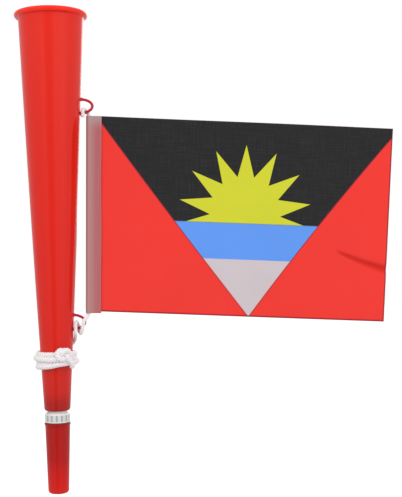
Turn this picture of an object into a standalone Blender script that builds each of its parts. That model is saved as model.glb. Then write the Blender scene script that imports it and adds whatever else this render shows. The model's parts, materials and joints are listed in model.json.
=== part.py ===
"""A plastic party horn with a cloth flag on a cord, at real size in metres.

The horn stands on its mouth end at the origin, with its bell up along +Z. The flag hangs on the +X side, on a cord that
is tied to two moulded eyelets and wound round the narrow end of the horn. Inside the mouthpiece a beating reed lies on
a flat tube, the shallot, which is part of the white reed holder.
"""

from math import acos, cos, degrees, pi, radians, sin, sqrt

import bmesh
import bpy
import numpy as np
from mathutils import Matrix, Vector

MM = 0.001

# Gaps between pieces that touch on the real horn
SEAT_GAP = 0.3 * MM
CORD_GAP = 0.35 * MM

# Mouthpiece, from the mouth end at height 0 up to its lip
MOUTH_LENGTH = 53.7 * MM
MOUTH_END_DIAMETER = 15.6 * MM
MOUTH_TOP_DIAMETER = 18.8 * MM
MOUTH_END_ROUND = 2.3 * MM
MOUTH_WALL = 1.6 * MM
MOUTH_BORE = 8.0 * MM
MOUTH_BORE_DEPTH = 5.0 * MM
MOUTH_CHAMBER_START = 11.0 * MM
MOUTH_EDGE_ROUND = 0.5 * MM
LIP_DIAMETER = 20.0 * MM
LIP_HEIGHT = 2.2 * MM

# Reed holder: a spigot down into the mouthpiece, a collar that shows, and a spigot up into the bell
LOWER_SPIGOT_DIAMETER = 15.0 * MM
LOWER_SPIGOT_DEPTH = 11.0 * MM
COLLAR_DIAMETER = 18.6 * MM
COLLAR_HEIGHT = 6.6 * MM
COLLAR_SLOPE = 1.0 * MM
NECK_HEIGHT = 1.1 * MM
UPPER_SPIGOT_DIAMETER = 14.4 * MM
UPPER_SPIGOT_DEPTH = 13.0 * MM
AIR_BORE = 9.0 * MM
PAD_COUNT = 15
PAD_GROOVE_WIDTH = 1.3 * MM
PAD_GROOVE_DEPTH = 0.4 * MM
PAD_MARGIN = 0.9 * MM

# Shallot: the flat-sided tube that the tongue beats on
SHALLOT_DIAMETER = 9.6 * MM
SHALLOT_FLAT = 3.4 * MM
SHALLOT_BORE = 5.2 * MM
SHALLOT_LENGTH = 28.0 * MM
SHALLOT_END_WALL = 1.5 * MM
SHALLOT_TAPER = 3.0 * MM
WINDOW_WIDTH = 3.4 * MM
WINDOW_LENGTH = 17.0 * MM
WINDOW_FROM_END = 3.0 * MM

# Tongue and the ring that clamps its root
TONGUE_WIDTH = 5.0 * MM
TONGUE_THICKNESS = 0.4 * MM
TONGUE_LENGTH = 20.5 * MM
TONGUE_ROOT = 5.6 * MM
TONGUE_OPEN_DEG = 2.0
CLIP_DIAMETER = 12.8 * MM
CLIP_HEIGHT = 5.8 * MM
CLIP_BELOW_SPIGOT = 1.2 * MM

# Bell: a cone with a rounded foot, slightly swelling sides and a rolled rim, in two lengths that meet at a seam
# under the cord's loops
BELL_LENGTH = 303.3 * MM
BELL_FOOT_DIAMETER = 19.6 * MM
BELL_TOP_DIAMETER = 49.8 * MM
BELL_SWELL = 0.45 * MM
BELL_WALL = 1.3 * MM
BELL_SEAM_RISE = 37.3 * MM
FOOT_ROUND_HEIGHT = 2.6 * MM
FOOT_ROUND_INSET = 1.7 * MM
STOP_BORE = 10.8 * MM
STOP_HEIGHT = 2.0 * MM
STOP_TAPER = 16.0 * MM
RIM_OVERHANG = 3.1 * MM
RIM_HEIGHT = 4.2 * MM
RIM_FILLET = 0.8 * MM
RIM_INNER_ROUND = 0.5 * MM

# Eyelets: D loops of round section on the +X side, at heights above the bell's foot
EYELET_WIRE = 2.4 * MM
EYELET_HEIGHT = 13.2 * MM
EYELET_REACH = 10.1 * MM
UPPER_EYELET_RISE = 231.45 * MM
LOWER_EYELET_RISE = 67.1 * MM

# Hinge line of the flag, which is the cord inside its sleeve: it passes just outside the lower eyelet's bar and just
# behind the upper one's, and these are its distances from the wall and the middle of each eyelet
HINGE_FOOT_REACH = 11.57 * MM
HINGE_FOOT_RISE = 6.5 * MM
HINGE_HEAD_REACH = 5.66 * MM
HINGE_HEAD_BACK = 2.6 * MM
HINGE_HEAD_DROP = 7.2 * MM
FLAG_YAW_DEG = 4.5

# Flag: a sleeve of folded tape, and the cloth sewn between its two plies
TAPE_THICKNESS = 0.5 * MM
SLEEVE_WIDTH = 11.9 * MM
SLEEVE_PLY_START = 3.9 * MM
SLEEVE_BORE_GAP = 0.3 * MM
CLOTH_THICKNESS = 0.6 * MM
CLOTH_TUCK = 4.5 * MM
CLOTH_FOOT_INSET = 1.25 * MM
CLOTH_BOTTOM_LENGTH = 217.2 * MM
CLOTH_TOP_EXTRA = 8.2 * MM
CLOTH_DROOP = 8.4 * MM
CLOTH_SWELL = 1.3 * MM
CLOTH_CREASE = 1.4 * MM
CREASE_FROM_FLY = 42.0 * MM
CREASE_HEIGHT_SHARE = 0.35
CREASE_WIDTH = 5.0 * MM
CLOTH_COLUMNS = 30
CLOTH_ROWS = 14

# Cord: one length from the upper eyelet through the sleeve, the lower eyelet, the winding and the knot
CORD_DIAMETER = 2.7 * MM
CORD_PITCH = CORD_DIAMETER + 0.53 * MM
POINTS_PER_LOOP = 24
WINDING_RISE = 44.4 * MM
WINDING_START_DEG = 150.0
LEAD_START_DEG = -8.0
LEAD_DROP = 11.5 * MM
INNER_LOOPS = 3.0
CLIMB_LOOPS = 0.5
WINDING_LOOPS = 4.26
WINDING_TILT = 0.7 * MM
OUTER_TILT = 1.6 * MM
KNOT_RADIUS = 4.2 * MM
KNOT_LOBE = 1.85 * MM
KNOT_DEPTH = 1.68 * MM
KNOT_RISE = 42.5 * MM
KNOT_AZIMUTH_DEG = 297.0
KNOT_CUT_DEG = 40.0
KNOT_POINTS = 26
CORD_STEP = 1.3 * MM

ROUND_STEPS = 56
SMALL_ROUND_STEPS = 40
SHARP_EDGE_DEG = 32.0

# Heights that follow from the sizes above
COLLAR_FOOT = MOUTH_LENGTH + SEAT_GAP
COLLAR_TOP = COLLAR_FOOT + COLLAR_HEIGHT
NECK_FOOT = COLLAR_TOP + COLLAR_SLOPE
BELL_FOOT = NECK_FOOT + NECK_HEIGHT
BELL_TOP = BELL_FOOT + BELL_LENGTH
RIM_FOOT = BELL_TOP - RIM_HEIGHT
LOWER_SPIGOT_FOOT = COLLAR_FOOT - LOWER_SPIGOT_DEPTH
UPPER_SPIGOT_TOP = BELL_FOOT + UPPER_SPIGOT_DEPTH
SHALLOT_FOOT = LOWER_SPIGOT_FOOT - SHALLOT_LENGTH
CLIP_TOP = LOWER_SPIGOT_FOOT - CLIP_BELOW_SPIGOT
CLIP_FOOT = CLIP_TOP - CLIP_HEIGHT
TONGUE_PLANE = SHALLOT_FLAT + SEAT_GAP + TONGUE_THICKNESS / 2
UPPER_EYELET_Z = BELL_FOOT + UPPER_EYELET_RISE
LOWER_EYELET_Z = BELL_FOOT + LOWER_EYELET_RISE
BELL_SEAM = BELL_FOOT + BELL_SEAM_RISE
WINDING_TOP = BELL_FOOT + WINDING_RISE


def clear_scene():
    for obj in list(bpy.data.objects):
        bpy.data.objects.remove(obj, do_unlink=True)


def material(name, colour, roughness, metallic=0.0):
    made = bpy.data.materials.new(name)
    made.use_nodes = True
    shader = made.node_tree.nodes["Principled BSDF"]
    shader.inputs["Base Color"].default_value = (*colour, 1.0)
    shader.inputs["Roughness"].default_value = roughness
    shader.inputs["Metallic"].default_value = metallic
    return made


def finish_mesh(name, bm, surface, smooth=True):
    """Turns a bmesh into a named object with outward faces."""
    bmesh.ops.recalc_face_normals(bm, faces=bm.faces)
    mesh = bpy.data.meshes.new(name)
    bm.to_mesh(mesh)
    bm.free()
    obj = bpy.data.objects.new(name, mesh)
    bpy.context.scene.collection.objects.link(obj)
    if smooth:
        mesh.shade_smooth()
        mesh.set_sharp_from_angle(angle=radians(SHARP_EDGE_DEG))
    if surface:
        mesh.materials.append(surface)
    return obj


def arc(centre, radius_across, radius_up, start_deg, end_deg, count):
    """Points of an ellipse's arc in a plane, both ends included."""
    points = []
    for i in range(count + 1):
        angle = radians(start_deg + (end_deg - start_deg) * i / count)
        points.append((centre[0] + radius_across * cos(angle), centre[1] + radius_up * sin(angle)))
    return points


def turned(name, outline, surface, steps):
    """A solid made by turning the closed outline of (radius, height) points round the Z axis."""
    bm = bmesh.new()
    verts = [bm.verts.new((radius, 0.0, height)) for radius, height in outline]
    edges = [bm.edges.new(pair) for pair in zip(verts, verts[1:] + verts[:1])]
    bmesh.ops.spin(
        bm,
        geom=verts + edges,
        axis=(0, 0, 1),
        cent=(0, 0, 0),
        dvec=(0, 0, 0),
        angle=2 * pi,
        steps=steps,
        use_merge=True,
    )
    bmesh.ops.remove_doubles(bm, verts=bm.verts, dist=0.001 * MM)
    return finish_mesh(name, bm, surface)


def extruded(name, outline, depth, surface, smooth=True):
    """A solid made by extruding the closed outline of (x, y) points along its own Z from 0 to depth."""
    bm = bmesh.new()
    face = bm.faces.new([bm.verts.new((x, y, 0.0)) for x, y in outline])
    grown = bmesh.ops.extrude_face_region(bm, geom=[face])["geom"]
    moved = [item for item in grown if isinstance(item, bmesh.types.BMVert)]
    bmesh.ops.translate(bm, verts=moved, vec=(0, 0, depth))
    return finish_mesh(name, bm, surface, smooth)


def cut(target, cutter):
    """Takes the cutter's shape out of the target, and leaves the cutter as a hidden guide."""
    cutter.hide_render = True
    cutter.display_type = "WIRE"
    modifier = target.modifiers.new(cutter.name, "BOOLEAN")
    modifier.operation = "DIFFERENCE"
    modifier.solver = "EXACT"
    modifier.object = cutter


def settle(obj):
    """Applies an object's modifiers and shades what they made."""
    graph = bpy.context.evaluated_depsgraph_get()
    mesh = bpy.data.meshes.new_from_object(obj.evaluated_get(graph))
    obj.modifiers.clear()
    old = obj.data
    obj.data = mesh
    bpy.data.meshes.remove(old)
    mesh.name = obj.name
    mesh.shade_smooth()
    mesh.set_sharp_from_angle(angle=radians(SHARP_EDGE_DEG))


def bell_radius(height):
    """Outer radius of the bell's side at a height: a cone that swells a little between its ends."""
    share = (height - BELL_FOOT) / (RIM_FOOT - BELL_FOOT)
    cone = (BELL_FOOT_DIAMETER + share * (BELL_TOP_DIAMETER - BELL_FOOT_DIAMETER)) / 2
    return cone + BELL_SWELL * 4 * share * (1 - share)


def bell_side(start, end, inset, count):
    """Points of the bell's side, this far inside its outer surface, at heights from start to end."""
    heights = [start + (end - start) * i / count for i in range(count + 1)]
    return [(bell_radius(height) - inset, height) for height in heights]


def mouth_radius(height):
    """Outer radius of the mouthpiece's taper at a height."""
    share = height / (MOUTH_LENGTH - LIP_HEIGHT)
    return (MOUTH_END_DIAMETER + share * (MOUTH_TOP_DIAMETER - MOUTH_END_DIAMETER)) / 2


def make_mouthpiece(surface):
    bore = MOUTH_BORE / 2
    socket = LOWER_SPIGOT_DIAMETER / 2 + SEAT_GAP
    socket_foot = LOWER_SPIGOT_FOOT - SEAT_GAP
    end_radius = mouth_radius(MOUTH_END_ROUND)
    lip_radius = LIP_DIAMETER / 2
    lip_foot = MOUTH_LENGTH - LIP_HEIGHT
    lip_round = LIP_HEIGHT / 3
    edge = MOUTH_EDGE_ROUND
    outline = []
    outline += arc((bore + edge, edge), edge, edge, 180, 270, 3)
    outline += arc((end_radius - MOUTH_END_ROUND, MOUTH_END_ROUND), MOUTH_END_ROUND, MOUTH_END_ROUND, 270, 360, 6)
    outline += [(mouth_radius(lip_foot), lip_foot)]
    outline += [(lip_radius - lip_round / 2, lip_foot + lip_round / 2)]
    outline += [(lip_radius, lip_foot + lip_round)]
    outline += arc((lip_radius - lip_round, MOUTH_LENGTH - lip_round), lip_round, lip_round, 0, 90, 3)
    outline += [(socket, MOUTH_LENGTH), (socket, socket_foot)]
    chamber_top = min(mouth_radius(socket_foot) - MOUTH_WALL, socket - SEAT_GAP)
    outline += [(chamber_top, socket_foot)]
    outline += [(mouth_radius(MOUTH_CHAMBER_START) - MOUTH_WALL, MOUTH_CHAMBER_START)]
    outline += [(bore, MOUTH_BORE_DEPTH)]
    return turned("mouthpiece", outline, surface, ROUND_STEPS)


def make_reed_holder(surface):
    shallot = SHALLOT_DIAMETER / 2
    lower = LOWER_SPIGOT_DIAMETER / 2
    upper = UPPER_SPIGOT_DIAMETER / 2
    collar = COLLAR_DIAMETER / 2
    air = AIR_BORE / 2
    small_bore = SHALLOT_BORE / 2
    edge = 0.5 * MM
    bore_end = SHALLOT_FOOT + SHALLOT_END_WALL
    taper_top = LOWER_SPIGOT_FOOT + SHALLOT_TAPER
    outline = [(0.0, SHALLOT_FOOT)]
    outline += arc((shallot - edge, SHALLOT_FOOT + edge), edge, edge, 270, 360, 3)
    outline += [(shallot, LOWER_SPIGOT_FOOT)]
    outline += [(lower - edge, LOWER_SPIGOT_FOOT), (lower, LOWER_SPIGOT_FOOT + edge)]
    outline += [(lower, COLLAR_FOOT), (collar - edge / 2, COLLAR_FOOT), (collar, COLLAR_FOOT + edge / 2)]
    outline += [(collar, COLLAR_TOP), (upper + edge, NECK_FOOT), (upper, NECK_FOOT + edge / 2)]
    spigot_top = UPPER_SPIGOT_TOP - SEAT_GAP
    outline += [(upper, spigot_top - edge), (upper - edge, spigot_top)]
    outline += [(air, spigot_top), (air, taper_top), (small_bore, LOWER_SPIGOT_FOOT - SHALLOT_TAPER)]
    outline += [(small_bore, bore_end), (0.0, bore_end)]
    holder = turned("reed_holder", outline, surface, ROUND_STEPS)
    cut(holder, shallot_flat_cutter())
    cut(holder, window_cutter())
    cut(holder, pad_groove_cutter())
    settle(holder)
    return holder


def box_mesh(bm, low, high, turn=Matrix.Identity(4)):
    """Adds a box between two corners, then turned."""
    size = [high[i] - low[i] for i in range(3)]
    middle = [(high[i] + low[i]) / 2 for i in range(3)]
    place = turn @ Matrix.Translation(middle) @ Matrix.Diagonal((*size, 1.0))
    bmesh.ops.create_cube(bm, size=1.0, matrix=place)


def shallot_flat_cutter():
    bm = bmesh.new()
    reach = SHALLOT_DIAMETER
    top = LOWER_SPIGOT_FOOT - SEAT_GAP
    box_mesh(bm, (-reach, -reach, SHALLOT_FOOT - reach), (reach, -SHALLOT_FLAT, top))
    return finish_mesh("shallot_flat_cutter", bm, None, smooth=False)


def window_cutter():
    """The long window with round ends, cut from the flat into the bore."""
    half = WINDOW_WIDTH / 2
    foot = SHALLOT_FOOT + WINDOW_FROM_END
    head = foot + WINDOW_LENGTH
    outline = arc((0.0, head - half), half, half, 0, 180, 8)
    outline += arc((0.0, foot + half), half, half, 180, 360, 8)
    cutter = extruded("window_cutter", outline, SHALLOT_DIAMETER, None, smooth=False)
    cutter.rotation_euler = (pi / 2, 0.0, 0.0)
    return cutter


def pad_groove_cutter():
    """Upright grooves that leave a row of raised pads round the collar."""
    bm = bmesh.new()
    collar = COLLAR_DIAMETER / 2
    low = (collar - PAD_GROOVE_DEPTH, -PAD_GROOVE_WIDTH / 2, COLLAR_FOOT + PAD_MARGIN)
    high = (collar + PAD_GROOVE_DEPTH, PAD_GROOVE_WIDTH / 2, COLLAR_TOP - PAD_MARGIN)
    for i in range(PAD_COUNT):
        box_mesh(bm, low, high, Matrix.Rotation(2 * pi * (i + 0.5) / PAD_COUNT, 4, "Z"))
    return finish_mesh("pad_groove_cutter", bm, None, smooth=False)


def make_reed_clip(surface):
    """A ring with a D-shaped hole, pushed on over the shallot and the tongue's root."""
    outer = CLIP_DIAMETER / 2
    hole = SHALLOT_DIAMETER / 2 + SEAT_GAP
    flat = TONGUE_PLANE + TONGUE_THICKNESS / 2 + SEAT_GAP
    chamfer = 0.5 * MM
    outline = [(0.0, CLIP_FOOT), (outer - chamfer, CLIP_FOOT), (outer, CLIP_FOOT + chamfer)]
    outline += [(outer, CLIP_TOP - chamfer), (outer - chamfer, CLIP_TOP), (0.0, CLIP_TOP)]
    clip = turned("reed_clip", outline, surface, SMALL_ROUND_STEPS)
    flat_half_angle = degrees(acos(flat / hole))
    hole_outline = arc((0.0, 0.0), hole, hole, flat_half_angle - 90, 270 - flat_half_angle, SMALL_ROUND_STEPS - 4)
    cutter = extruded("clip_hole_cutter", hole_outline, 2 * CLIP_HEIGHT, None, smooth=False)
    cutter.location = (0.0, 0.0, CLIP_FOOT - CLIP_HEIGHT / 2)
    cut(clip, cutter)
    settle(clip)
    return clip


def make_reed_tongue(surface):
    """A thin strip with a round tip. Its origin is on the line that it bends about, at the clip's lower face."""
    half = TONGUE_WIDTH / 2
    stations = [TONGUE_ROOT, 0.0, -TONGUE_LENGTH * 0.4]
    tip = arc((0.0, -TONGUE_LENGTH + half), half, half, 0, -90, 5)
    columns = [(half, height) for height in stations] + tip[:-1]
    slope = sin(radians(TONGUE_OPEN_DEG))
    bm = bmesh.new()
    rows = []
    for x, height in columns:
        y = min(height, 0.0) * slope
        rows.append((bm.verts.new((-x, y, height)), bm.verts.new((x, y, height))))
    for (a, b), (c, d) in zip(rows, rows[1:]):
        bm.faces.new((a, b, d, c))
    last = bm.verts.new((0.0, -TONGUE_LENGTH * slope, -TONGUE_LENGTH))
    bm.faces.new((rows[-1][0], rows[-1][1], last))
    tongue = finish_mesh("reed_tongue", bm, surface)
    thicken = tongue.modifiers.new("thickness", "SOLIDIFY")
    thicken.thickness = TONGUE_THICKNESS
    thicken.offset = 0.0
    tongue.location = (0.0, -TONGUE_PLANE, CLIP_FOOT)
    return tongue


def make_bell_foot(surface):
    """The narrow end of the bell, up to the seam: a socket for the reed holder, with a stop above it."""
    socket = UPPER_SPIGOT_DIAMETER / 2 + SEAT_GAP
    foot_end = bell_radius(BELL_FOOT) - FOOT_ROUND_INSET
    foot_round_top = BELL_FOOT + FOOT_ROUND_HEIGHT
    stop_foot = UPPER_SPIGOT_TOP
    stop_top = stop_foot + STOP_HEIGHT
    bore_start = stop_top + STOP_TAPER
    seam = BELL_SEAM - SEAT_GAP / 2
    outline = bell_side(seam, foot_round_top, 0.0, 2)[:-1]
    outline += arc((foot_end, foot_round_top), bell_radius(foot_round_top) - foot_end, FOOT_ROUND_HEIGHT, 0, -90, 6)
    outline += [(socket, BELL_FOOT), (socket, stop_foot), (STOP_BORE / 2, stop_foot), (STOP_BORE / 2, stop_top)]
    outline += bell_side(bore_start, seam, BELL_WALL, 1)
    return turned("bell_foot", outline, surface, ROUND_STEPS)


def make_horn_bell(surface):
    """The long part of the bell, from the seam to its rolled rim."""
    top_radius = BELL_TOP_DIAMETER / 2
    rim_round = RIM_HEIGHT / 2
    rim_middle = top_radius + RIM_OVERHANG - rim_round
    inner_top = bell_radius(BELL_TOP) - BELL_WALL
    edge = RIM_INNER_ROUND
    seam = BELL_SEAM + SEAT_GAP / 2
    outline = arc((inner_top + edge, BELL_TOP - edge), edge, edge, 180, 90, 3)
    outline += arc((rim_middle, BELL_TOP - rim_round), rim_round, rim_round, 90, -90, 8)
    outline += arc((top_radius + RIM_FILLET, RIM_FOOT - RIM_FILLET), RIM_FILLET, RIM_FILLET, 90, 180, 3)
    outline += bell_side(RIM_FOOT - RIM_FILLET, seam, 0.0, 5)[1:]
    outline += bell_side(seam, BELL_TOP, BELL_WALL, 5)[:-1]
    return turned("horn_bell", outline, surface, ROUND_STEPS)


def eyelet_path(middle):
    """Centre line of an eyelet's wire in the XZ plane: out along a bar, round, and back."""
    bend = (EYELET_HEIGHT - EYELET_WIRE) / 2
    turn_x = bell_radius(middle) + EYELET_REACH - EYELET_WIRE / 2 - bend
    inside = bell_radius(middle) - 2 * EYELET_WIRE
    path = [(inside, middle + bend), (turn_x - bend / 2, middle + bend)]
    path += arc((turn_x, middle), bend, bend, 90, -90, 14)
    path += [(turn_x - bend / 2, middle - bend), (inside, middle - bend)]
    return path


def make_eyelet(name, middle, surface):
    """A loop of wire, cut off where it meets the bell's wall."""
    points = [Vector((x, 0.0, z)) for x, z in eyelet_path(middle)]
    loop = tube(name, points, EYELET_WIRE / 2, 3, surface)
    reach = EYELET_HEIGHT
    low, high = middle - reach, middle + reach
    outline = [(0.0, low), (bell_radius(low) + SEAT_GAP, low), (bell_radius(high) + SEAT_GAP, high), (0.0, high)]
    cutter = turned(name + "_wall_cutter", outline, None, ROUND_STEPS)
    cut(loop, cutter)
    settle(loop)
    return loop


def tube(name, points, radius, bevel_resolution, surface):
    """A round tube along the points, closed at both ends, as a mesh object."""
    curve = bpy.data.curves.new(name + "_path", "CURVE")
    curve.dimensions = "3D"
    curve.bevel_depth = radius
    curve.bevel_resolution = bevel_resolution
    curve.use_fill_caps = True
    spline = curve.splines.new("POLY")
    spline.points.add(len(points) - 1)
    for spline_point, point in zip(spline.points, points):
        spline_point.co = (*point, 1.0)
    guide = bpy.data.objects.new(name + "_path", curve)
    bpy.context.scene.collection.objects.link(guide)
    graph = bpy.context.evaluated_depsgraph_get()
    mesh = bpy.data.meshes.new_from_object(guide.evaluated_get(graph))
    bpy.data.objects.remove(guide, do_unlink=True)
    bm = bmesh.new()
    bm.from_mesh(mesh)
    bpy.data.meshes.remove(mesh)
    bmesh.ops.remove_doubles(bm, verts=bm.verts, dist=0.001 * MM)
    return finish_mesh(name, bm, surface)


def hinge_foot():
    """Where the hinge line leaves the sleeve, above the lower eyelet."""
    wall = bell_radius(LOWER_EYELET_Z)
    return Vector((wall + HINGE_FOOT_REACH, 0.0, LOWER_EYELET_Z + HINGE_FOOT_RISE))


def hinge_head():
    """Where the hinge line enters the sleeve, below the upper eyelet."""
    wall = bell_radius(UPPER_EYELET_Z)
    return Vector((wall + HINGE_HEAD_REACH, HINGE_HEAD_BACK, UPPER_EYELET_Z - HINGE_HEAD_DROP))


def hinge_length():
    return (hinge_head() - hinge_foot()).length


def hinge_matrix():
    """The flag's own frame: Z up the hinge line, X along the cloth, origin at the sleeve's lower end."""
    up = (hinge_head() - hinge_foot()).normalized()
    out = Vector((cos(radians(FLAG_YAW_DEG)), sin(radians(FLAG_YAW_DEG)), 0.0))
    out = (out - up * out.dot(up)).normalized()
    across = up.cross(out)
    frame = Matrix((out, across, up)).transposed().to_4x4()
    return Matrix.Translation(hinge_foot()) @ frame


def sleeve_bore():
    return CORD_DIAMETER / 2 + SLEEVE_BORE_GAP


def sleeve_edge():
    """How far the sleeve's free edge lies from the hinge line."""
    return SLEEVE_WIDTH - sleeve_bore() - TAPE_THICKNESS


def make_flag_sleeve(surface):
    """Tape folded round the cord, with a slot between its plies for the cloth."""
    inner = sleeve_bore()
    outer = inner + TAPE_THICKNESS
    slot = CLOTH_THICKNESS / 2 + SEAT_GAP
    ply = slot + TAPE_THICKNESS
    edge = sleeve_edge()
    lean_deg = 50
    outline = [(edge, ply), (SLEEVE_PLY_START, ply)]
    outline += arc((0.0, 0.0), outer, outer, lean_deg, 360 - lean_deg, 16)
    outline += [(SLEEVE_PLY_START, -ply), (edge, -ply), (edge, -slot), (SLEEVE_PLY_START, -slot)]
    outline += arc((0.0, 0.0), inner, inner, 360 - lean_deg, lean_deg, 16)
    outline += [(SLEEVE_PLY_START, slot), (edge, slot)]
    return extruded("flag_sleeve", outline, hinge_length(), surface)


def cloth_length(up_share):
    """Length of the cloth outside the sleeve at a share of the flag's height."""
    return CLOTH_BOTTOM_LENGTH + CLOTH_TOP_EXTRA * up_share


def cloth_bulge(out, up_share):
    """How far the cloth stands off its plane: slow waves, and a crease that runs to the fly edge."""
    length = cloth_length(up_share)
    share = max(out - sleeve_edge(), 0.0) / length
    wave = CLOTH_SWELL * sin(2.2 * pi * share + 0.9 * up_share) * share
    hoist_height = hinge_length()
    from_fly = length + sleeve_edge() - out
    crease_line = CREASE_HEIGHT_SHARE * hoist_height + (from_fly - CREASE_FROM_FLY) * 0.35
    away = (up_share * hoist_height - crease_line) / CREASE_WIDTH
    fade = max(0.0, 1.0 - from_fly / CREASE_FROM_FLY)
    return wave + CLOTH_CREASE * fade / (1.0 + away**2)


def make_flag_cloth(surface):
    """A thin sheet that drops a little and bends towards its fly edge."""
    height = hinge_length()
    start = sleeve_edge() - CLOTH_TUCK
    bm = bmesh.new()
    grid = []
    for row in range(CLOTH_ROWS + 1):
        up_share = row / CLOTH_ROWS
        length = cloth_length(up_share) + CLOTH_TUCK
        line = []
        for column in range(CLOTH_COLUMNS + 1):
            share = column / CLOTH_COLUMNS
            out = start + length * share
            fall = CLOTH_DROOP * max(out - sleeve_edge(), 0.0) / cloth_length(up_share)
            up = CLOTH_FOOT_INSET + up_share * (height - CLOTH_FOOT_INSET)
            line.append(bm.verts.new((out, cloth_bulge(out, up_share), up - fall)))
        grid.append(line)
    for low, high in zip(grid, grid[1:]):
        for i in range(CLOTH_COLUMNS):
            bm.faces.new((low[i], low[i + 1], high[i + 1], high[i]))
    cloth = finish_mesh("flag_cloth", bm, surface)
    thicken = cloth.modifiers.new("thickness", "SOLIDIFY")
    thicken.thickness = CLOTH_THICKNESS
    thicken.offset = 0.0
    return cloth


def smooth_curve(points, step):
    """Points about a step apart on a centripetal Catmull-Rom curve through the given points."""
    ends = [2 * points[0] - points[1]] + list(points) + [2 * points[-1] - points[-2]]
    made = []
    for p0, p1, p2, p3 in zip(ends, ends[1:], ends[2:], ends[3:]):
        t1 = sqrt((p1 - p0).length)
        t2 = t1 + sqrt((p2 - p1).length)
        t3 = t2 + sqrt((p3 - p2).length)
        count = max(1, round((p2 - p1).length / step))
        for i in range(count):
            t = t1 + (t2 - t1) * i / count
            a1 = p0 + (p1 - p0) * (t / t1)
            a2 = p1 + (p2 - p1) * ((t - t1) / (t2 - t1))
            a3 = p2 + (p3 - p2) * ((t - t2) / (t3 - t2))
            b1 = a1 + (a2 - a1) * (t / t2)
            b2 = a2 + (a3 - a2) * ((t - t1) / (t3 - t1))
            made.append(b1 + (b2 - b1) * ((t - t1) / (t2 - t1)))
    made.append(points[-1].copy())
    return made


def round_horn(azimuth_deg, radius, height):
    angle = radians(azimuth_deg)
    return Vector((radius * cos(angle), radius * sin(angle), height))


def cord_seat(height):
    """Distance from the axis to the centre of a cord that lies on the bell."""
    return bell_radius(height) + CORD_GAP + CORD_DIAMETER / 2


def from_eyelet(middle, offsets):
    """Route points given from the wall beside an eyelet, in millimetres."""
    wall = Vector((bell_radius(middle), 0.0, middle))
    return [wall + Vector(offset) * MM for offset in offsets]


def upper_tie():
    """From the short tail, over the upper eyelet's lower bar and down behind it to the sleeve."""
    offsets = [
        (1.75, -3.1, -9.0),
        (1.85, -3.2, -6.4),
        (1.8, -3.0, -4.2),
        (1.95, -1.3, -2.6),
        (2.8, 1.3, -2.5),
        (4.1, 3.05, -3.9),
        (5.15, 3.2, -5.5),
    ]
    return from_eyelet(UPPER_EYELET_Z, offsets)


def hinge_run():
    """Straight down the hinge line, from just above the sleeve to just below it."""
    head = hinge_head()
    run = hinge_foot() - head
    overrun = SEAT_GAP / run.length
    return [head + run * share for share in (-overrun, 0.01, 0.5, 0.99, 1 + overrun)]


def lower_turn():
    """Down in front of the lower eyelet, under it, up behind, forward through it and down to the bell."""
    offsets = [
        (11.2, -0.7, 4.9),
        (10.3, -2.2, 3.3),
        (8.6, -3.05, 1.2),
        (7.6, -3.15, -2.3),
        (6.9, -2.7, -5.8),
        (5.7, -0.8, -8.6),
        (4.4, 1.8, -8.1),
        (3.5, 3.25, -5.2),
        (2.7, 2.8, -1.8),
        (2.1, 0.2, 0.1),
        (1.95, -2.6, -1.6),
        (1.95, -3.25, -4.9),
        (1.8, -3.1, -8.4),
    ]
    return from_eyelet(LOWER_EYELET_Z, offsets)


def lead_in():
    """Behind the bell, from the lower eyelet down to the first loop."""
    span = WINDING_START_DEG - LEAD_START_DEG
    points = []
    for i in range(1, 11):
        azimuth = LEAD_START_DEG + 15 * i
        left = (WINDING_START_DEG - azimuth) / span
        height = WINDING_TOP + CORD_PITCH * left * span / 360 + LEAD_DROP * left**2.5 + winding_tilt(azimuth)
        points.append(round_horn(azimuth, cord_seat(height), height))
    return points


def winding_tilt(azimuth_deg):
    """How much higher the loops lie at an azimuth than on average."""
    return WINDING_TILT * cos(radians(azimuth_deg))


def winding_point(turns):
    """The cord's centre after so many turns: down the bell, out one layer, and up over the first layer."""
    azimuth = WINDING_START_DEG + 360 * turns
    tilt = winding_tilt(azimuth)
    height = WINDING_TOP - CORD_PITCH * turns + tilt
    if turns <= INNER_LOOPS:
        return round_horn(azimuth, cord_seat(height), height)
    climb = min((turns - INNER_LOOPS) / CLIMB_LOOPS, 1.0)
    base = WINDING_TOP - CORD_PITCH * (min(turns, INNER_LOOPS + CLIMB_LOOPS) - 1) + tilt
    height = base - CORD_PITCH * cos(climb * pi / 2)
    radius = cord_seat(base) + CORD_PITCH * sin(climb * pi / 2)
    outer = turns - INNER_LOOPS - CLIMB_LOOPS
    if outer > 0:
        height = base + CORD_PITCH * outer + OUTER_TILT * (1 - cos(2 * pi * outer))
        radius = cord_seat(height) + CORD_PITCH
    return round_horn(azimuth, radius, height)


def winding():
    count = round(WINDING_LOOPS * POINTS_PER_LOOP)
    return [winding_point(i / POINTS_PER_LOOP) for i in range(count + 1)]


def knot_frame():
    """A frame on the winding's surface: X round the bell, Y up, Z outwards."""
    height = BELL_FOOT + KNOT_RISE
    radius = cord_seat(height) + CORD_PITCH + KNOT_DEPTH
    angle = radians(KNOT_AZIMUTH_DEG)
    out = Vector((cos(angle), sin(angle), 0.0))
    along = Vector((-sin(angle), cos(angle), 0.0))
    frame = Matrix((along, Vector((0, 0, 1)), out)).transposed().to_4x4()
    return Matrix.Translation(out * radius + Vector((0, 0, height))) @ frame


def overhand_knot():
    """The two upper lobes of an overhand knot, from its lower left to its lower right."""
    points = []
    for i in range(KNOT_POINTS + 1):
        angle = radians(360 - KNOT_CUT_DEG - (360 - 2 * KNOT_CUT_DEG) * i / KNOT_POINTS)
        radius = KNOT_RADIUS + KNOT_LOBE * cos(3 * angle)
        points.append(Vector((radius * sin(2 * angle), -radius * cos(2 * angle), KNOT_DEPTH * sin(3 * angle))))
    return points


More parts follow.
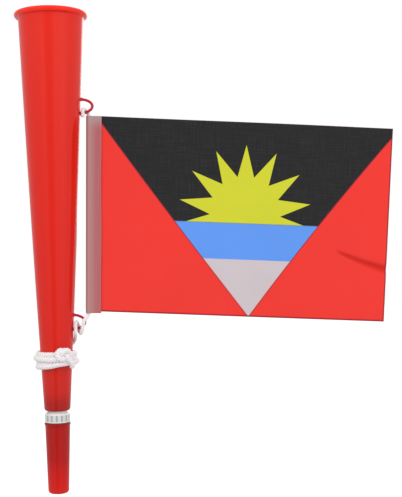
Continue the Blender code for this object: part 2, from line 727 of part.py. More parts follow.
def knot_and_tail():
    entry = [Vector(p) * MM for p in ((-9.6, -2.75, -4.2), (-7.1, -2.8, -2.7), (-4.8, -2.25, -1.8))]
    tail = [
        Vector(p) * MM
        for p in ((5.1, -3.4, 1.5), (7.0, -5.2, 1.4), (8.4, -7.6, 1.0), (9.0, -10.2, -0.2), (9.0, -12.4, -1.9))
    ]
    frame = knot_frame()
    return [frame @ point for point in entry + overhand_knot() + tail]


def least_gap(points, diameter):
    """The least distance between two stretches of the cord's surface that aren't next to each other."""
    places = np.array(points)
    runs = np.linalg.norm(np.diff(places, axis=0), axis=1)
    along = np.concatenate([[0.0], np.cumsum(runs)])
    apart = np.linalg.norm(places[:, None] - places[None], axis=2)
    far = np.abs(along[:, None] - along[None]) > 3 * diameter
    return float(apart[far].min() - diameter), float(along[-1])


def make_cord(surface):
    route = smooth_curve(upper_tie() + hinge_run() + lower_turn() + lead_in(), CORD_STEP)
    straight = [p for p in route if not inside_hinge(p)]
    before = [p for p in straight if p.z > (hinge_head().z + hinge_foot().z) / 2]
    after = straight[len(before):]
    turns = winding()
    ties = smooth_curve(turns[-2:] + knot_and_tail(), CORD_STEP)
    points = before + hinge_run()[1:-1] + after + turns[:-2] + ties
    fine = smooth_curve(points, CORD_STEP / 3)
    gap, length = least_gap(fine, CORD_DIAMETER)
    print(f"cord: {length / MM:.0f} mm long, least gap to itself {gap / MM:.2f} mm")
    return tube("cord", points, CORD_DIAMETER / 2, 1, surface)


def inside_hinge(point):
    """True for a point of the route that lies on the straight run inside the sleeve."""
    return hinge_foot().z < point.z < hinge_head().z


def main():
    clear_scene()
    red_dark = material("red_plastic_mouthpiece", (0.48, 0.02, 0.015), 0.25)
    red = material("red_plastic_bell", (0.68, 0.03, 0.02), 0.22)
    red_foot = material("red_plastic_bell_foot", (0.6, 0.025, 0.02), 0.22)
    red_upper = material("red_plastic_upper_eyelet", (0.6, 0.02, 0.03), 0.25)
    red_lower = material("red_plastic_lower_eyelet", (0.55, 0.02, 0.03), 0.25)
    white = material("white_plastic_holder", (0.75, 0.76, 0.76), 0.4)
    clip_white = material("white_plastic_clip", (0.82, 0.82, 0.8), 0.45)
    tongue_surface = material("clear_film_tongue", (0.85, 0.84, 0.78), 0.3)
    sleeve_surface = material("white_tape", (0.6, 0.42, 0.42), 0.85)
    cloth_surface = material("printed_cloth", (0.85, 0.06, 0.04), 0.8)
    cord_surface = material("white_braided_cord", (0.86, 0.84, 0.84), 0.85)
    make_mouthpiece(red_dark)
    make_reed_holder(white)
    make_reed_clip(clip_white)
    make_reed_tongue(tongue_surface)
    make_bell_foot(red_foot)
    make_horn_bell(red)
    make_eyelet("upper_eyelet", UPPER_EYELET_Z, red_upper)
    make_eyelet("lower_eyelet", LOWER_EYELET_Z, red_lower)
    make_cord(cord_surface)
    hinge = bpy.data.objects.new("flag_hinge", None)
    bpy.context.scene.collection.objects.link(hinge)
    hinge.matrix_world = hinge_matrix()
    for piece in (make_flag_sleeve(sleeve_surface), make_flag_cloth(cloth_surface)):
        piece.parent = hinge


main()
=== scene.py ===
"""The looks of a red plastic party horn with a printed hand flag on a braided cord."""

import json
from math import acos, cos, degrees, hypot, pi, radians, sin, sqrt

import bmesh
import bpy
import numpy as np
from mathutils import Matrix, Vector


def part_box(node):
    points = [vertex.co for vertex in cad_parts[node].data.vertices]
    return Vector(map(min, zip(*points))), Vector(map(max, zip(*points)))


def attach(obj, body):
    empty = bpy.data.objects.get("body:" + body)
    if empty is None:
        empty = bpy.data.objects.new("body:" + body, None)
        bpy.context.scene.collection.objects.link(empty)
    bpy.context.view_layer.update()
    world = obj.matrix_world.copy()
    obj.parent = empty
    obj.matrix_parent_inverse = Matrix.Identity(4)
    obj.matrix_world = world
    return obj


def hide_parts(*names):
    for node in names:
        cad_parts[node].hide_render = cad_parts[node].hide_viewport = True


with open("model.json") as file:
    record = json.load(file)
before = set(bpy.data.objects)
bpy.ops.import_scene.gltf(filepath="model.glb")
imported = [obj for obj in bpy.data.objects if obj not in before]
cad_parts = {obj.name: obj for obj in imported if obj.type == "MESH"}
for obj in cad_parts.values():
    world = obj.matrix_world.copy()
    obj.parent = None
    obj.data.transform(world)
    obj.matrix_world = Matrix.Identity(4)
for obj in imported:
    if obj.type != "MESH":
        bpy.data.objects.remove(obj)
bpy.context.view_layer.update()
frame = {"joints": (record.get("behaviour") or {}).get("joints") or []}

MM = 0.001

# Sizes that the frame gives
BELL_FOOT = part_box("bell_foot")[0].z
RIM_RADIUS, _, BELL_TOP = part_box("horn_bell")[1]
LIP_RADIUS, _, MOUTH_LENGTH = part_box("mouthpiece")[1]
HOLDER_LOW, HOLDER_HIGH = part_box("reed_holder")
CLIP_LOW, CLIP_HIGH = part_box("reed_clip")
FLAG_JOINT = next(joint for joint in frame["joints"] if joint["name"] == "flag_swing")
HINGE_FOOT = Vector(FLAG_JOINT["pos_m"])
HINGE_AXIS = Vector(FLAG_JOINT["axis"]).normalized()

# The horn's sizes, as the solids have them
SEAT_GAP = 0.3 * MM
CORD_GAP = 0.35 * MM
EDGE = 0.5 * MM
BELL_FOOT_DIAMETER = 19.6 * MM
RIM_OVERHANG = 3.1 * MM
BELL_TOP_DIAMETER = 2 * (RIM_RADIUS - RIM_OVERHANG)
BELL_SWELL = 0.45 * MM
BELL_WALL = 1.3 * MM
RIM_HEIGHT = 4.2 * MM
RIM_FOOT = BELL_TOP - RIM_HEIGHT
RIM_FILLET = 0.8 * MM
FOOT_ROUND_HEIGHT = 2.6 * MM
FOOT_ROUND_INSET = 1.7 * MM
UPPER_SPIGOT_DIAMETER = 14.4 * MM
UPPER_SPIGOT_TOP = HOLDER_HIGH.z + SEAT_GAP
STOP_BORE = 10.8 * MM
STOP_HEIGHT = 2.0 * MM
STOP_TAPER = 16.0 * MM
BELL_STEPS = 24

LIP_HEIGHT = 2.2 * MM
LIP_ROUND = LIP_HEIGHT / 3
LIP_FILLET_DROP = 0.1 * MM
MOUTH_END_DIAMETER = 15.6 * MM
MOUTH_TOP_DIAMETER = 18.8 * MM
MOUTH_END_ROUND = 2.3 * MM
MOUTH_WALL = 1.6 * MM
MOUTH_BORE = 8.0 * MM
MOUTH_BORE_DEPTH = 5.0 * MM
MOUTH_CHAMBER_START = 11.0 * MM
MOUTH_STEPS = 8

LOWER_SPIGOT_DIAMETER = 15.0 * MM
COLLAR_DIAMETER = 18.6 * MM
COLLAR_FOOT = MOUTH_LENGTH + SEAT_GAP
COLLAR_TOP = COLLAR_FOOT + 6.6 * MM
NECK_FOOT = COLLAR_TOP + 1.0 * MM
LOWER_SPIGOT_FOOT = COLLAR_FOOT - 11.0 * MM
AIR_BORE = 9.0 * MM
PAD_COUNT = 15
PAD_GROOVE_WIDTH = 1.3 * MM
PAD_GROOVE_DEPTH = 0.4 * MM
PAD_MARGIN = 0.9 * MM
BAND_START = 0.7 * MM
BAND_END = 1.1 * MM
SHALLOT_FOOT = HOLDER_LOW.z
SHALLOT_DIAMETER = 9.6 * MM
SHALLOT_FLAT = 3.4 * MM
SHALLOT_BORE = 5.2 * MM
SHALLOT_END_WALL = 1.5 * MM
SHALLOT_TAPER = 3.0 * MM
WINDOW_WIDTH = 3.4 * MM
WINDOW_LENGTH = 17.0 * MM
WINDOW_FROM_END = 3.0 * MM
TONGUE_WIDTH = 5.0 * MM
TONGUE_THICKNESS = 0.4 * MM
TONGUE_FILM = 0.9 * TONGUE_THICKNESS
TONGUE_LENGTH = 20.5 * MM
TONGUE_ROOT = 5.6 * MM
TONGUE_OPEN_DEG = 2.0
TONGUE_PLANE = SHALLOT_FLAT + SEAT_GAP + TONGUE_THICKNESS / 2

EYELET_WIRE = 2.1 * MM
EYELET_HEIGHT = 12.9 * MM
EYELET_REACH = 9.9 * MM
EYELET_FILLET = 0.7 * MM
EYELET_ROOT = 0.8 * BELL_WALL
EYELET_STEPS = 60
EYELET_SIDES = 24
UPPER_EYELET_Z = BELL_FOOT + 231.45 * MM
LOWER_EYELET_Z = BELL_FOOT + 67.1 * MM

# The cord's route, as the solid has it, and the braid, which is thicker where the cord is slack
CORD_DIAMETER = 2.7 * MM
BRAID_DIAMETER = 3.0 * MM
WOUND_DIAMETER = 4.4 * MM
KNOT_DIAMETER = 4.7 * MM
WOUND_PRESS = 0.55
KNOT_PRESS = 0.78
KNOT_DRAW = 0.86
CORD_PITCH = CORD_DIAMETER + 0.53 * MM
POINTS_PER_LOOP = 24
WINDING_TOP = BELL_FOOT + 44.4 * MM
WINDING_START_DEG = 150.0
SLACK_START = WINDING_TOP + 9.0 * MM
SLACK_REACH = 6.0 * MM
LEAD_START_DEG = -8.0
LEAD_DROP = 11.5 * MM
LEAD_POWER = 2.5
LEAD_STEP_DEG = 15
LEAD_POINTS = 10
INNER_LOOPS = 3.0
CLIMB_LOOPS = 0.5
WINDING_LOOPS = 4.26
WINDING_TILT = 0.7 * MM
OUTER_TILT = 1.6 * MM
KNOT_RADIUS = 4.2 * MM
KNOT_LOBE = 1.85 * MM
KNOT_DEPTH = 1.68 * MM
KNOT_Z = BELL_FOOT + 42.5 * MM
KNOT_AZIMUTH_DEG = 297.0
KNOT_CUT_DEG = 40.0
KNOT_POINTS = 26
KNOT_EXTENT = 14.0 * MM
CORD_STEP = 1.3 * MM
BRAID_RING_STEP = 0.27 * MM
BRAID_SIDES = 30
BRAID_STRANDS = 4
BRAID_PITCH = 8.4 * MM
BRAID_DEPTH = 0.34
BRAID_MEAN = 0.52
END_AREA = 0.02

# The flag's sizes. Its tape and cloth are thinner here than in the solids
FLAG_HEIGHT = 150.69 * MM
FLAG_YAW_DEG = 4.5
SLEEVE_WIDTH = 11.9 * MM
SLEEVE_PLY_START = 3.9 * MM
TAPE_THICKNESS = 0.5 * MM
TAPE_FILM = 0.38 * MM
TAPE_LEAN_DEG = 50
TAPE_ROWS = 90
TAPE_PLY_STEPS = 8
TAPE_FOLD_STEPS = 28
TAPE_WAVE = 0.1 * MM
TAPE_WAVE_SPAN = 9.0 * MM
TAPE_PLY_SHIFT = 900.0
TAPE_DRIFT = 0.15 * MM
TAPE_DRIFT_SPAN = 13.0 * MM
SLEEVE_BORE_GAP = 0.3 * MM
SLEEVE_EDGE = SLEEVE_WIDTH - CORD_DIAMETER / 2 - SLEEVE_BORE_GAP - TAPE_THICKNESS
CLOTH_SPACE = 0.6 * MM
CLOTH_THICKNESS = 0.26 * MM
CLOTH_TUCK = 4.5 * MM
CLOTH_FOOT_INSET = 1.25 * MM
CLOTH_BOTTOM_LENGTH = 217.2 * MM
CLOTH_TOP_EXTRA = 8.2 * MM
CLOTH_DROOP = 8.4 * MM
CLOTH_SWELL = 1.3 * MM
CLOTH_HALF_WAVES = 2.2
CLOTH_TWIST = 0.9
CLOTH_COLUMNS = 180
CLOTH_ROWS = 120
CLOTH_CREASE = 1.5 * MM
CREASE_WIDTH = 2.8 * MM
CREASE_NARROW = 0.3
CREASE_GROWTH = 1.6
CREASE_FALL = 1.5
STITCH_PITCH = 2.9 * MM
STITCH_LENGTH = 2.3 * MM
STITCH_RADIUS = 0.14 * MM
STITCH_FROM_EDGE = 1.9 * MM
STITCH_SINK = 0.02 * MM
STITCH_START = 0.8
STITCH_ARCH = 1.3
STITCH_DIP = 0.6
STITCH_TAPER = 0.45
STITCH_STEPS = 6
STITCH_SIDES = 8

# Places on the cord's route, in millimetres: two ties from the wall at their eyelets, and two from the knot
UPPER_TIE = (
    (1.75, -3.1, -9.0), (1.85, -3.2, -6.4), (1.8, -3.0, -4.2), (1.95, -1.3, -2.6), (2.8, 1.3, -2.5),
    (4.1, 3.05, -3.9), (5.15, 3.2, -5.5),
)
LOWER_TURN = (
    (11.2, -0.7, 4.9), (10.3, -2.2, 3.3), (8.6, -3.05, 1.2), (7.6, -3.15, -2.3), (6.9, -2.7, -5.8),
    (5.7, -0.8, -8.6), (4.4, 1.8, -8.1), (3.5, 3.25, -5.2), (2.7, 2.8, -1.8), (2.1, 0.2, 0.1),
    (1.95, -2.6, -1.6), (1.95, -3.25, -4.9), (1.8, -3.1, -8.4),
)
KNOT_ENTRY = ((-9.6, -2.75, -4.2), (-7.1, -2.8, -2.7), (-4.8, -2.25, -1.8))
KNOT_TAIL = ((5.1, -3.4, 1.5), (7.0, -5.2, 1.4), (8.4, -7.6, 1.0), (8.9, -9.6, 0.1))

ROUND_STEPS = 144
SHARP_EDGE_DEG = 35.0

# The print, in metres on a flat cloth whose lower corner by the sleeve is 0, 0
PRINT_LENGTH = 220.0 * MM
PRINT_HEIGHT = 150.0 * MM
APEX_ALONG = 113.7 * MM
LEFT_CORNER = -3.8 * MM
RIGHT_CORNER = 225.1 * MM
LEFT_BOW = -2.05 * MM
RIGHT_BOW = -1.5 * MM
HORIZON = 71.6 * MM
SEA_FOOT = 43.7 * MM
SUN_ALONG = 109.1 * MM
SUN_UP = 80.1 * MM
SUN_TIP = 52.1 * MM
SUN_VALLEY = 27.9 * MM
SUN_WIDTH = 0.965
SUN_STEP_DEG = 27.0
CROWDED_FROM = 3.5
LAST_RAY_CROWDING = 1.1
PRINT_EDGE = 0.14 * MM
CREASE_START = (181.0 * MM, 53.0 * MM)
CREASE_END = (220.0 * MM, 40.2 * MM)
CREASE_SAG = 0.9 * MM
# Width of the painted shade along the crease, and how much it widens towards the fly edge
CREASE_SHADE_WIDTH = 2.4 * MM
CREASE_SHADE_SPREAD = 3.2 * MM

# Colours
BLACK = (0.0215, 0.0215, 0.0225)
RED = (0.845, 0.045, 0.035)
YELLOW = (0.62, 0.632, 0.036)
BLUE = (0.121, 0.309, 0.848)
WHITE = (0.6, 0.536, 0.565)
JOIN_SHADE = (0.1, 0.17, 0.2)
BLEED_PINK = (0.93, 0.4, 0.37)
SEAM_SHADE = (0.17, 0.018, 0.045)
HEM_SHADE = (0.09, 0.01, 0.03)
CREASE_SHADE = (0.42, 0.0, 0.0)
TAPE_TOP = (0.43, 0.33, 0.335)
TAPE_SLUB = (0.62, 0.45, 0.45)
YARN_WHITE = (0.92, 0.885, 0.9)
YARN_SHADE = (0.62, 0.53, 0.54)
FIBRE_WHITE = (0.94, 0.92, 0.93)
DUST_GREY = (0.8, 0.75, 0.76)
COLLAR_WHITE = (0.82, 0.81, 0.81)
PAD_GREY = (0.7, 0.71, 0.71)
SPECK_GREY = (0.5, 0.52, 0.52)
GROOVE_SHADE_GREY = (0.44, 0.46, 0.46)

# Colours at heights in millimetres above the mouth end, with painted shade lower on the bell and where the
# reed holder inside the red plastic keeps light out, and the tape's at distances from the cord
BELL_SHADED_REDS = (
    (62.7, (0.33, 0.004, 0.001)), (64.5, (0.42, 0.004, 0.001)), (69.0, (0.43, 0.004, 0.001)),
    (76.5, (0.6, 0.009, 0.002)), (92.0, (0.67, 0.01, 0.002)), (131.0, (0.73, 0.01, 0.002)),
    (200.0, (0.755, 0.011, 0.002)), (275.0, (0.765, 0.013, 0.003)), (330.0, (0.78, 0.016, 0.004)),
    (360.5, (0.79, 0.016, 0.004)), (362.0, (1.0, 0.02, 0.005)), (366.0, (1.0, 0.02, 0.005)),
)
MOUTH_SHADED_REDS = (
    (0.0, (0.7, 0.01, 0.003)), (8.0, (0.645, 0.005, 0.002)), (17.0, (0.575, 0.005, 0.002)),
    (26.0, (0.45, 0.004, 0.002)), (40.0, (0.425, 0.004, 0.002)), (50.0, (0.425, 0.004, 0.002)),
    (52.5, (0.33, 0.005, 0.002)),
)
EYELET_REDS = ((0.0, (0.5, 0.008, 0.035)), (300.0, (0.54, 0.01, 0.035)))
# The tape's colours: painted shade at its fold round the cord, and painted red light from the cloth inside
# towards the sewn edge
TAPE_TINTS_AND_SHADE = (
    (-2.0, (0.34, 0.18, 0.175)), (0.0, (0.45, 0.235, 0.23)), (3.5, (0.44, 0.168, 0.165)),
    (5.5, (0.43, 0.13, 0.146)), (8.6, (0.435, 0.12, 0.127)), (9.7, (0.47, 0.13, 0.12)),
)

# The studio and the camera, with the photograph's size and the camera's focal length in pixels
IMAGE_WIDTH = 402
IMAGE_HEIGHT = 497
FOCAL_PIXELS = 1050.0
SENSOR = 36.0
CAMERA_PLACE = (0.13985, -0.79701, 0.17838)
CAMERA_TURN_DEG = (-2.025, 0.408, -1.013)
WORLD_LIGHT = 0.64
FLOOR_HEIGHT = -0.45
CARD_PLACE = (0.0, -1.7, 0.25)
LIGHT_TARGET = Vector((0.05, 0.0, 0.2))


def add_object(name, data):
    obj = bpy.data.objects.new(name, data)
    bpy.context.scene.collection.objects.link(obj)
    return obj


def finish_mesh(name, bm, smooth=True):
    """Turns a bmesh into a named object with outward faces."""
    bmesh.ops.recalc_face_normals(bm, faces=bm.faces)
    mesh = bpy.data.meshes.new(name)
    bm.to_mesh(mesh)
    bm.free()
    if smooth:
        mesh.shade_smooth()
        mesh.set_sharp_from_angle(angle=radians(SHARP_EDGE_DEG))
    return add_object(name, mesh)


def arc(centre, radius, start_deg, end_deg, count, radius_up=None):
    """Points of a circle's or an ellipse's arc in a plane, both ends included."""
    radius_up = radius_up or radius
    points = []
    for i in range(count + 1):
        angle = radians(start_deg + (end_deg - start_deg) * i / count)
        points.append((centre[0] + radius * cos(angle), centre[1] + radius_up * sin(angle)))
    return points


def turned(name, outline):
    """A solid made by turning the closed outline of (radius, height) points round the Z axis."""
    bm = bmesh.new()
    verts = [bm.verts.new((radius, 0.0, height)) for radius, height in outline]
    edges = [bm.edges.new(pair) for pair in zip(verts, verts[1:] + verts[:1])]
    centre = {"axis": (0, 0, 1), "cent": (0, 0, 0), "dvec": (0, 0, 0)}
    bmesh.ops.spin(bm, geom=verts + edges, angle=2 * pi, steps=ROUND_STEPS, use_merge=True, **centre)
    bmesh.ops.remove_doubles(bm, verts=bm.verts, dist=0.001 * MM)
    return finish_mesh(name, bm)


def extruded(name, outline, depth):
    """A solid made by extruding the closed outline of (x, y) points along Z from 0 to depth."""
    bm = bmesh.new()
    face = bm.faces.new([bm.verts.new((x, y, 0.0)) for x, y in outline])
    grown = bmesh.ops.extrude_face_region(bm, geom=[face])["geom"]
    moved = [item for item in grown if isinstance(item, bmesh.types.BMVert)]
    bmesh.ops.translate(bm, verts=moved, vec=(0, 0, depth))
    return finish_mesh(name, bm, smooth=False)


def change(obj, kind, **settings):
    """Applies one modifier with these settings to an object."""
    modifier = obj.modifiers.new("change", kind)
    for name, value in settings.items():
        setattr(modifier, name, value)
    graph = bpy.context.evaluated_depsgraph_get()
    mesh = bpy.data.meshes.new_from_object(obj.evaluated_get(graph))
    obj.modifiers.clear()
    obj.data = mesh
    mesh.shade_smooth()
    mesh.set_sharp_from_angle(angle=radians(SHARP_EDGE_DEG))


def thickened(sheet, thickness):
    """Gives a sheet its thickness, half on each side."""
    change(sheet, "SOLIDIFY", thickness=thickness, offset=0.0)
    return sheet


def cut_away(target, cutter):
    """Takes the cutter's shape out of the target, and removes the cutter."""
    change(target, "BOOLEAN", operation="DIFFERENCE", solver="EXACT", object=cutter)
    bpy.data.objects.remove(cutter, do_unlink=True)


def box_mesh(bm, low, high, turn=Matrix.Identity(4)):
    """Adds a box between two corners, turned about the origin."""
    low, high = Vector(low), Vector(high)
    place = turn @ Matrix.Translation((low + high) / 2) @ Matrix.Diagonal((*(high - low), 1.0))
    bmesh.ops.create_cube(bm, size=1.0, matrix=place)


def frame_at(origin, *axes):
    """The matrix of a frame that has this origin and these three axes."""
    return Matrix.Translation(origin) @ Matrix(axes).transposed().to_4x4()


def ring(bm, centre, side, up, radius, sides):
    """Vertices on a circle, from the side direction towards the up direction."""
    angles = [2 * pi * k / sides for k in range(sides)]
    return [bm.verts.new(centre + (side * cos(angle) + up * sin(angle)) * radius) for angle in angles]


def skin(bm, rings):
    """Faces that join the rings into a closed tube."""
    for low, high in zip(rings, rings[1:]):
        for k in range(len(low)):
            after = (k + 1) % len(low)
            bm.faces.new((low[k], low[after], high[after], high[k]))
    bm.faces.new(rings[0])
    bm.faces.new(list(reversed(rings[-1])))


def dress(piece, body, slot, surface, *nodes):
    """Gives a piece its material, its body and the solids that it stands for. The slot is not used."""
    piece.data.materials.clear()
    piece.data.materials.append(surface)
    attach(piece, body)
    if nodes:
        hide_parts(*nodes)


class Value:
    """An output in a material's node tree. Arithmetic with it adds Math nodes."""

    def __init__(self, graph, socket):
        self.graph = graph
        self.socket = socket

    def math(self, operation, *others, clamp=False):
        settings = {"operation": operation, "use_clamp": clamp}
        return self.graph.node("ShaderNodeMath", self, *others, settings=settings)

    def __add__(self, other):
        return self.math("ADD", other)

    def __sub__(self, other):
        return self.math("SUBTRACT", other)

    def __rsub__(self, other):
        return self * -1.0 + other

    def __mul__(self, other):
        return self.math("MULTIPLY", other)

    def __truediv__(self, other):
        return self.math("DIVIDE", other)

    def __abs__(self):
        return self.math("ABSOLUTE")

    def mix(self, first, second):
        """The first colour where this is 0, and the second where it is 1."""
        made = self.graph.tree.nodes.new("ShaderNodeMix")
        made.data_type = "RGBA"
        for index, value in ((0, self), (6, first), (7, second)):
            self.graph.put(made.inputs[index], value)
        return Value(self.graph, made.outputs[2])

    def ramp(self, low, high):
        """0 at low and 1 at high, with a smooth step between them and no change beyond."""
        settings = {"interpolation_type": "SMOOTHSTEP"}
        return self.graph.node("ShaderNodeMapRange", self, low, high, 0.0, 1.0, settings=settings)

    def near(self, reach):
        """1 where this is about 0, and 0 where it is at least the reach."""
        return abs(self).ramp(reach, 0.25 * reach)

    def steps(self, stops):
        """The colour at this length among (millimetres, colour) stops, in rising order."""
        low, high = stops[0][0], stops[-1][0]
        made = self.graph.tree.nodes.new("ShaderNodeValToRGB")
        elements = made.color_ramp.elements
        for index, (place, colour) in enumerate(stops):
            share = (place - low) / (high - low)
            element = elements[index] if index < 2 else elements.new(share)
            element.position = share
            element.color = (*colour, 1.0)
        span = (high - low) * MM
        self.graph.put(made.inputs[0], self.math("MULTIPLY_ADD", 1 / span, -low * MM / span, clamp=True))
        return Value(self.graph, made.outputs[0])

    def bump(self, distance, strength, **under):
        """The normal of a surface with this height on it, over another Normal if one is given."""
        return self.graph.node("ShaderNodeBump", Height=self, Distance=distance, Strength=strength, **under)


class Graph:
    """Builds one material's node tree."""

    def __init__(self, name):
        self.material = bpy.data.materials.new(name)
        self.material.use_nodes = True
        self.tree = self.material.node_tree
        self.shader = self.tree.nodes["Principled BSDF"]

    def put(self, socket, value):
        """Gives a socket a node's output, a colour of three parts, or a number."""
        if isinstance(value, Value):
            self.tree.links.new(value.socket, socket)
        elif isinstance(value, tuple) and len(value) == 3 and len(socket.default_value) == 4:
            socket.default_value = (*value, 1.0)
        else:
            socket.default_value = value

    def node(self, kind, *values, output=0, settings=(), **named):
        """The output of a new node, with its first inputs and its named inputs set."""
        made = self.tree.nodes.new(kind)
        for name, value in dict(settings).items():
            setattr(made, name, value)
        for socket, value in zip(made.inputs, values):
            self.put(socket, value)
        for name, value in named.items():
            self.put(made.inputs[name], value)
        return Value(self, made.outputs[output])

    def split(self, vector):
        """The parts of a vector along X, Y and Z."""
        made = self.tree.nodes.new("ShaderNodeSeparateXYZ")
        self.put(made.inputs[0], vector)
        return [Value(self, part) for part in made.outputs]

    def place(self):
        """The place in the object's own coordinates."""
        return self.node("ShaderNodeTexCoord", output=3)

    def map_place(self, uv_map):
        """The two coordinates of a piece's own UV map."""
        return self.split(self.node("ShaderNodeUVMap", settings={"uv_map": uv_map}))[:2]

    def noise(self, scale, detail=2.0, stretch=(1.0, 1.0, 1.0), roughness=0.5):
        """Noise of this many waves a metre, in the object's own place."""
        vector = self.node("ShaderNodeMapping", Vector=self.place(), Scale=stretch)
        return self.node("ShaderNodeTexNoise", Vector=vector, Scale=scale, Detail=detail, Roughness=roughness)

    def shade(self, **values):
        """Sets inputs of the material's shader."""
        for name, value in values.items():
            self.put(self.shader.inputs[name.replace("_", " ")], value)

    def finish(self, tone, roughness, normal, **others):
        """Sets the inputs that every surface of the part has, and any others, and gives the material."""
        self.shade(Base_Color=tone, Roughness=roughness, Normal=normal, **others)
        return self.material


def moulded_plastic(name, roughness, gloss, stops):
    """Glossy moulded plastic with its colour at heights and its IOR, and faint flow and handling marks."""
    graph = Graph(name)
    # For the bell and the mouthpiece, the colour at each height holds painted shade
    tone = graph.split(graph.place())[2].steps(stops)
    flow = graph.noise(16.0, 3.0, (1.0, 1.0, 0.12))
    deeper = (flow * 0.1).mix(tone, tuple(0.6 * part for part in stops[0][1]))
    scuffs = graph.noise(240.0, 6.0, (1.0, 1.0, 0.25), 0.7).ramp(0.62, 0.78)
    ripple = graph.noise(70.0, 2.0, (1.0, 1.0, 0.3)).bump(0.05 * MM, 0.35)
    grain = graph.noise(1800.0).bump(0.01 * MM, 0.25, Normal=ripple)
    graph.shade(Subsurface_Weight=0.08, Subsurface_Radius=(1.0, 0.12, 0.06), Subsurface_Scale=1.5 * MM)
    return graph.finish(deeper, scuffs * 0.16 + roughness, grain, IOR=gloss)


def satin(graph, tone, roughness):
    """Gives the graph's shader the finish of satin white plastic."""
    grain = graph.noise(2400.0, 3.0).bump(0.015 * MM, 0.3)
    graph.shade(Subsurface_Weight=0.15, Subsurface_Radius=(1.0, 0.9, 0.8), Subsurface_Scale=1.0 * MM)
    return graph.finish(tone, roughness, grain, IOR=1.5)


def satin_plastic(name, colour, roughness):
    graph = Graph(name)
    mottle = graph.noise(300.0, 4.0)
    tone = (mottle * 0.25).mix(colour, tuple(0.86 * part for part in colour))
    return satin(graph, tone, mottle * 0.12 + roughness)


def collar_plastic():
    """Satin white plastic, greyer in the grip band round the collar but for painted highlights along the
    band's edges, with painted shade in the grooves between pads.
    """
    graph = Graph("holder_white")
    x, y, z = graph.split(graph.place())
    # The band is greyer; the white strips left along its top and bottom edges are painted highlights on the
    # collar's rims
    low = z.ramp(COLLAR_FOOT + BAND_START, COLLAR_FOOT + BAND_END)
    high = z.ramp(COLLAR_TOP - BAND_START, COLLAR_TOP - BAND_END)
    # Painted shade in the grooves between the pads
    wave = (y.math("ARCTAN2", x) * float(PAD_COUNT)).math("COSINE")
    groove_shade = (wave * -1.0).ramp(0.2, 0.7)
    speck = graph.noise(2000.0, 3.0).ramp(0.4, 0.65)
    pads = (speck * 0.35).mix(PAD_GREY, SPECK_GREY)
    return satin(graph, (low * high).mix(COLLAR_WHITE, groove_shade.mix(pads, GROOVE_SHADE_GREY)), 0.36)


def cord_surface():
    """White cotton yarn with fine fibres, a little dust, and painted shade in the grooves between its
    strands.
    """
    graph = Graph("cord_yarn")
    fibres = graph.noise(2600.0, 4.0, (1.0, 1.0, 0.5), 0.65)
    dust = graph.noise(160.0, 3.0).ramp(0.45, 0.8)
    clean = (dust * 0.25).mix(YARN_WHITE, DUST_GREY)
    around, along = graph.map_place("strands")
    # Painted shade in the grooves between the strands
    waves = [abs((way * pi).math("SINE")) for way in (around + along, around - along)]
    groove_shade = (waves[0] * waves[1]).ramp(0.55, 0.0)
    shaded = (fibres * 0.3).mix((groove_shade * 0.6).mix(clean, YARN_SHADE), FIBRE_WHITE)
    graph.shade(Subsurface_Weight=0.2, Subsurface_Radius=(1.0, 0.85, 0.85), Subsurface_Scale=0.5 * MM)
    graph.shade(Sheen_Weight=0.2, Sheen_Roughness=0.5, Specular_IOR_Level=0.3)
    return graph.finish(shaded, 0.9, fibres.bump(0.06 * MM, 0.6))


def weave_height(across, along, pitch):
    """Height of a plain weave from two places in metres: 0 in the gaps and 1 on the threads."""
    waves = []
    for first, second, shift in ((across, along, 0.0), (along, across, pi)):
        thread = abs((first * (pi / pitch)).math("SINE"))
        over = (second * (pi / pitch) + shift).math("SINE") * 0.5 + 0.5
        waves.append(thread * over)
    return waves[0].math("MAXIMUM", waves[1])


def streaks(along, up, scale, stretch):
    """Noise drawn out along the cloth's threads."""
    vector = along.graph.node("ShaderNodeCombineXYZ", along * stretch[0], up * stretch[1])
    return along.graph.node("ShaderNodeTexNoise", Vector=vector, Scale=scale, Detail=3.0)


def beyond_seam(along, up, head, bow):
    """Distance to the right of the seam that runs from the print's lowest point up to the head."""
    run = head - APEX_ALONG
    slant = PRINT_HEIGHT / hypot(run, PRINT_HEIGHT)
    share = up / PRINT_HEIGHT
    seam = share * run + APEX_ALONG + share * (4 * bow) * (1.0 - share)
    return (along - seam) * slant


def crease_line(along):
    """How far along the crease a place on the print is, as a Value or a number, and the crease's height."""
    share = (along - CREASE_START[0]) / (CREASE_END[0] - CREASE_START[0])
    sag = share * (4 * CREASE_SAG) * (1.0 - share)
    return share, share * (CREASE_END[1] - CREASE_START[1]) + CREASE_START[1] - sag


def crease_shade(along, up):
    """Where shade is painted along the cloth's crease: a wedge that widens to the fly edge."""
    share, line = crease_line(along)
    away = abs(up - line) / (share * CREASE_SHADE_SPREAD + CREASE_SHADE_WIDTH)
    return away.ramp(1.0, 0.1) * share.ramp(-0.06, 0.1)


def inside_sun(along, up):
    """Distance inside the edge of a star with straight-sided rays, the lowest ones closer together."""
    x, y = (along - SUN_ALONG) / SUN_WIDTH, up - SUN_UP
    sector = radians(SUN_STEP_DEG)
    turn = abs(x.math("ARCTAN2", y)) / sector
    turn = turn + (turn - CROWDED_FROM).math("MAXIMUM", 0.0) * LAST_RAY_CROWDING
    angle = abs(turn - turn.math("ROUND")) * sector
    radius = (x * x + y * y).math("SQRT")
    valley = (SUN_VALLEY * cos(sector / 2), SUN_VALLEY * sin(sector / 2))
    length = hypot(SUN_TIP - valley[0], valley[1])
    from_tip = (SUN_TIP - radius * angle.math("COSINE")) * (valley[1] / length)
    return from_tip - radius * angle.math("SINE") * ((SUN_TIP - valley[0]) / length)


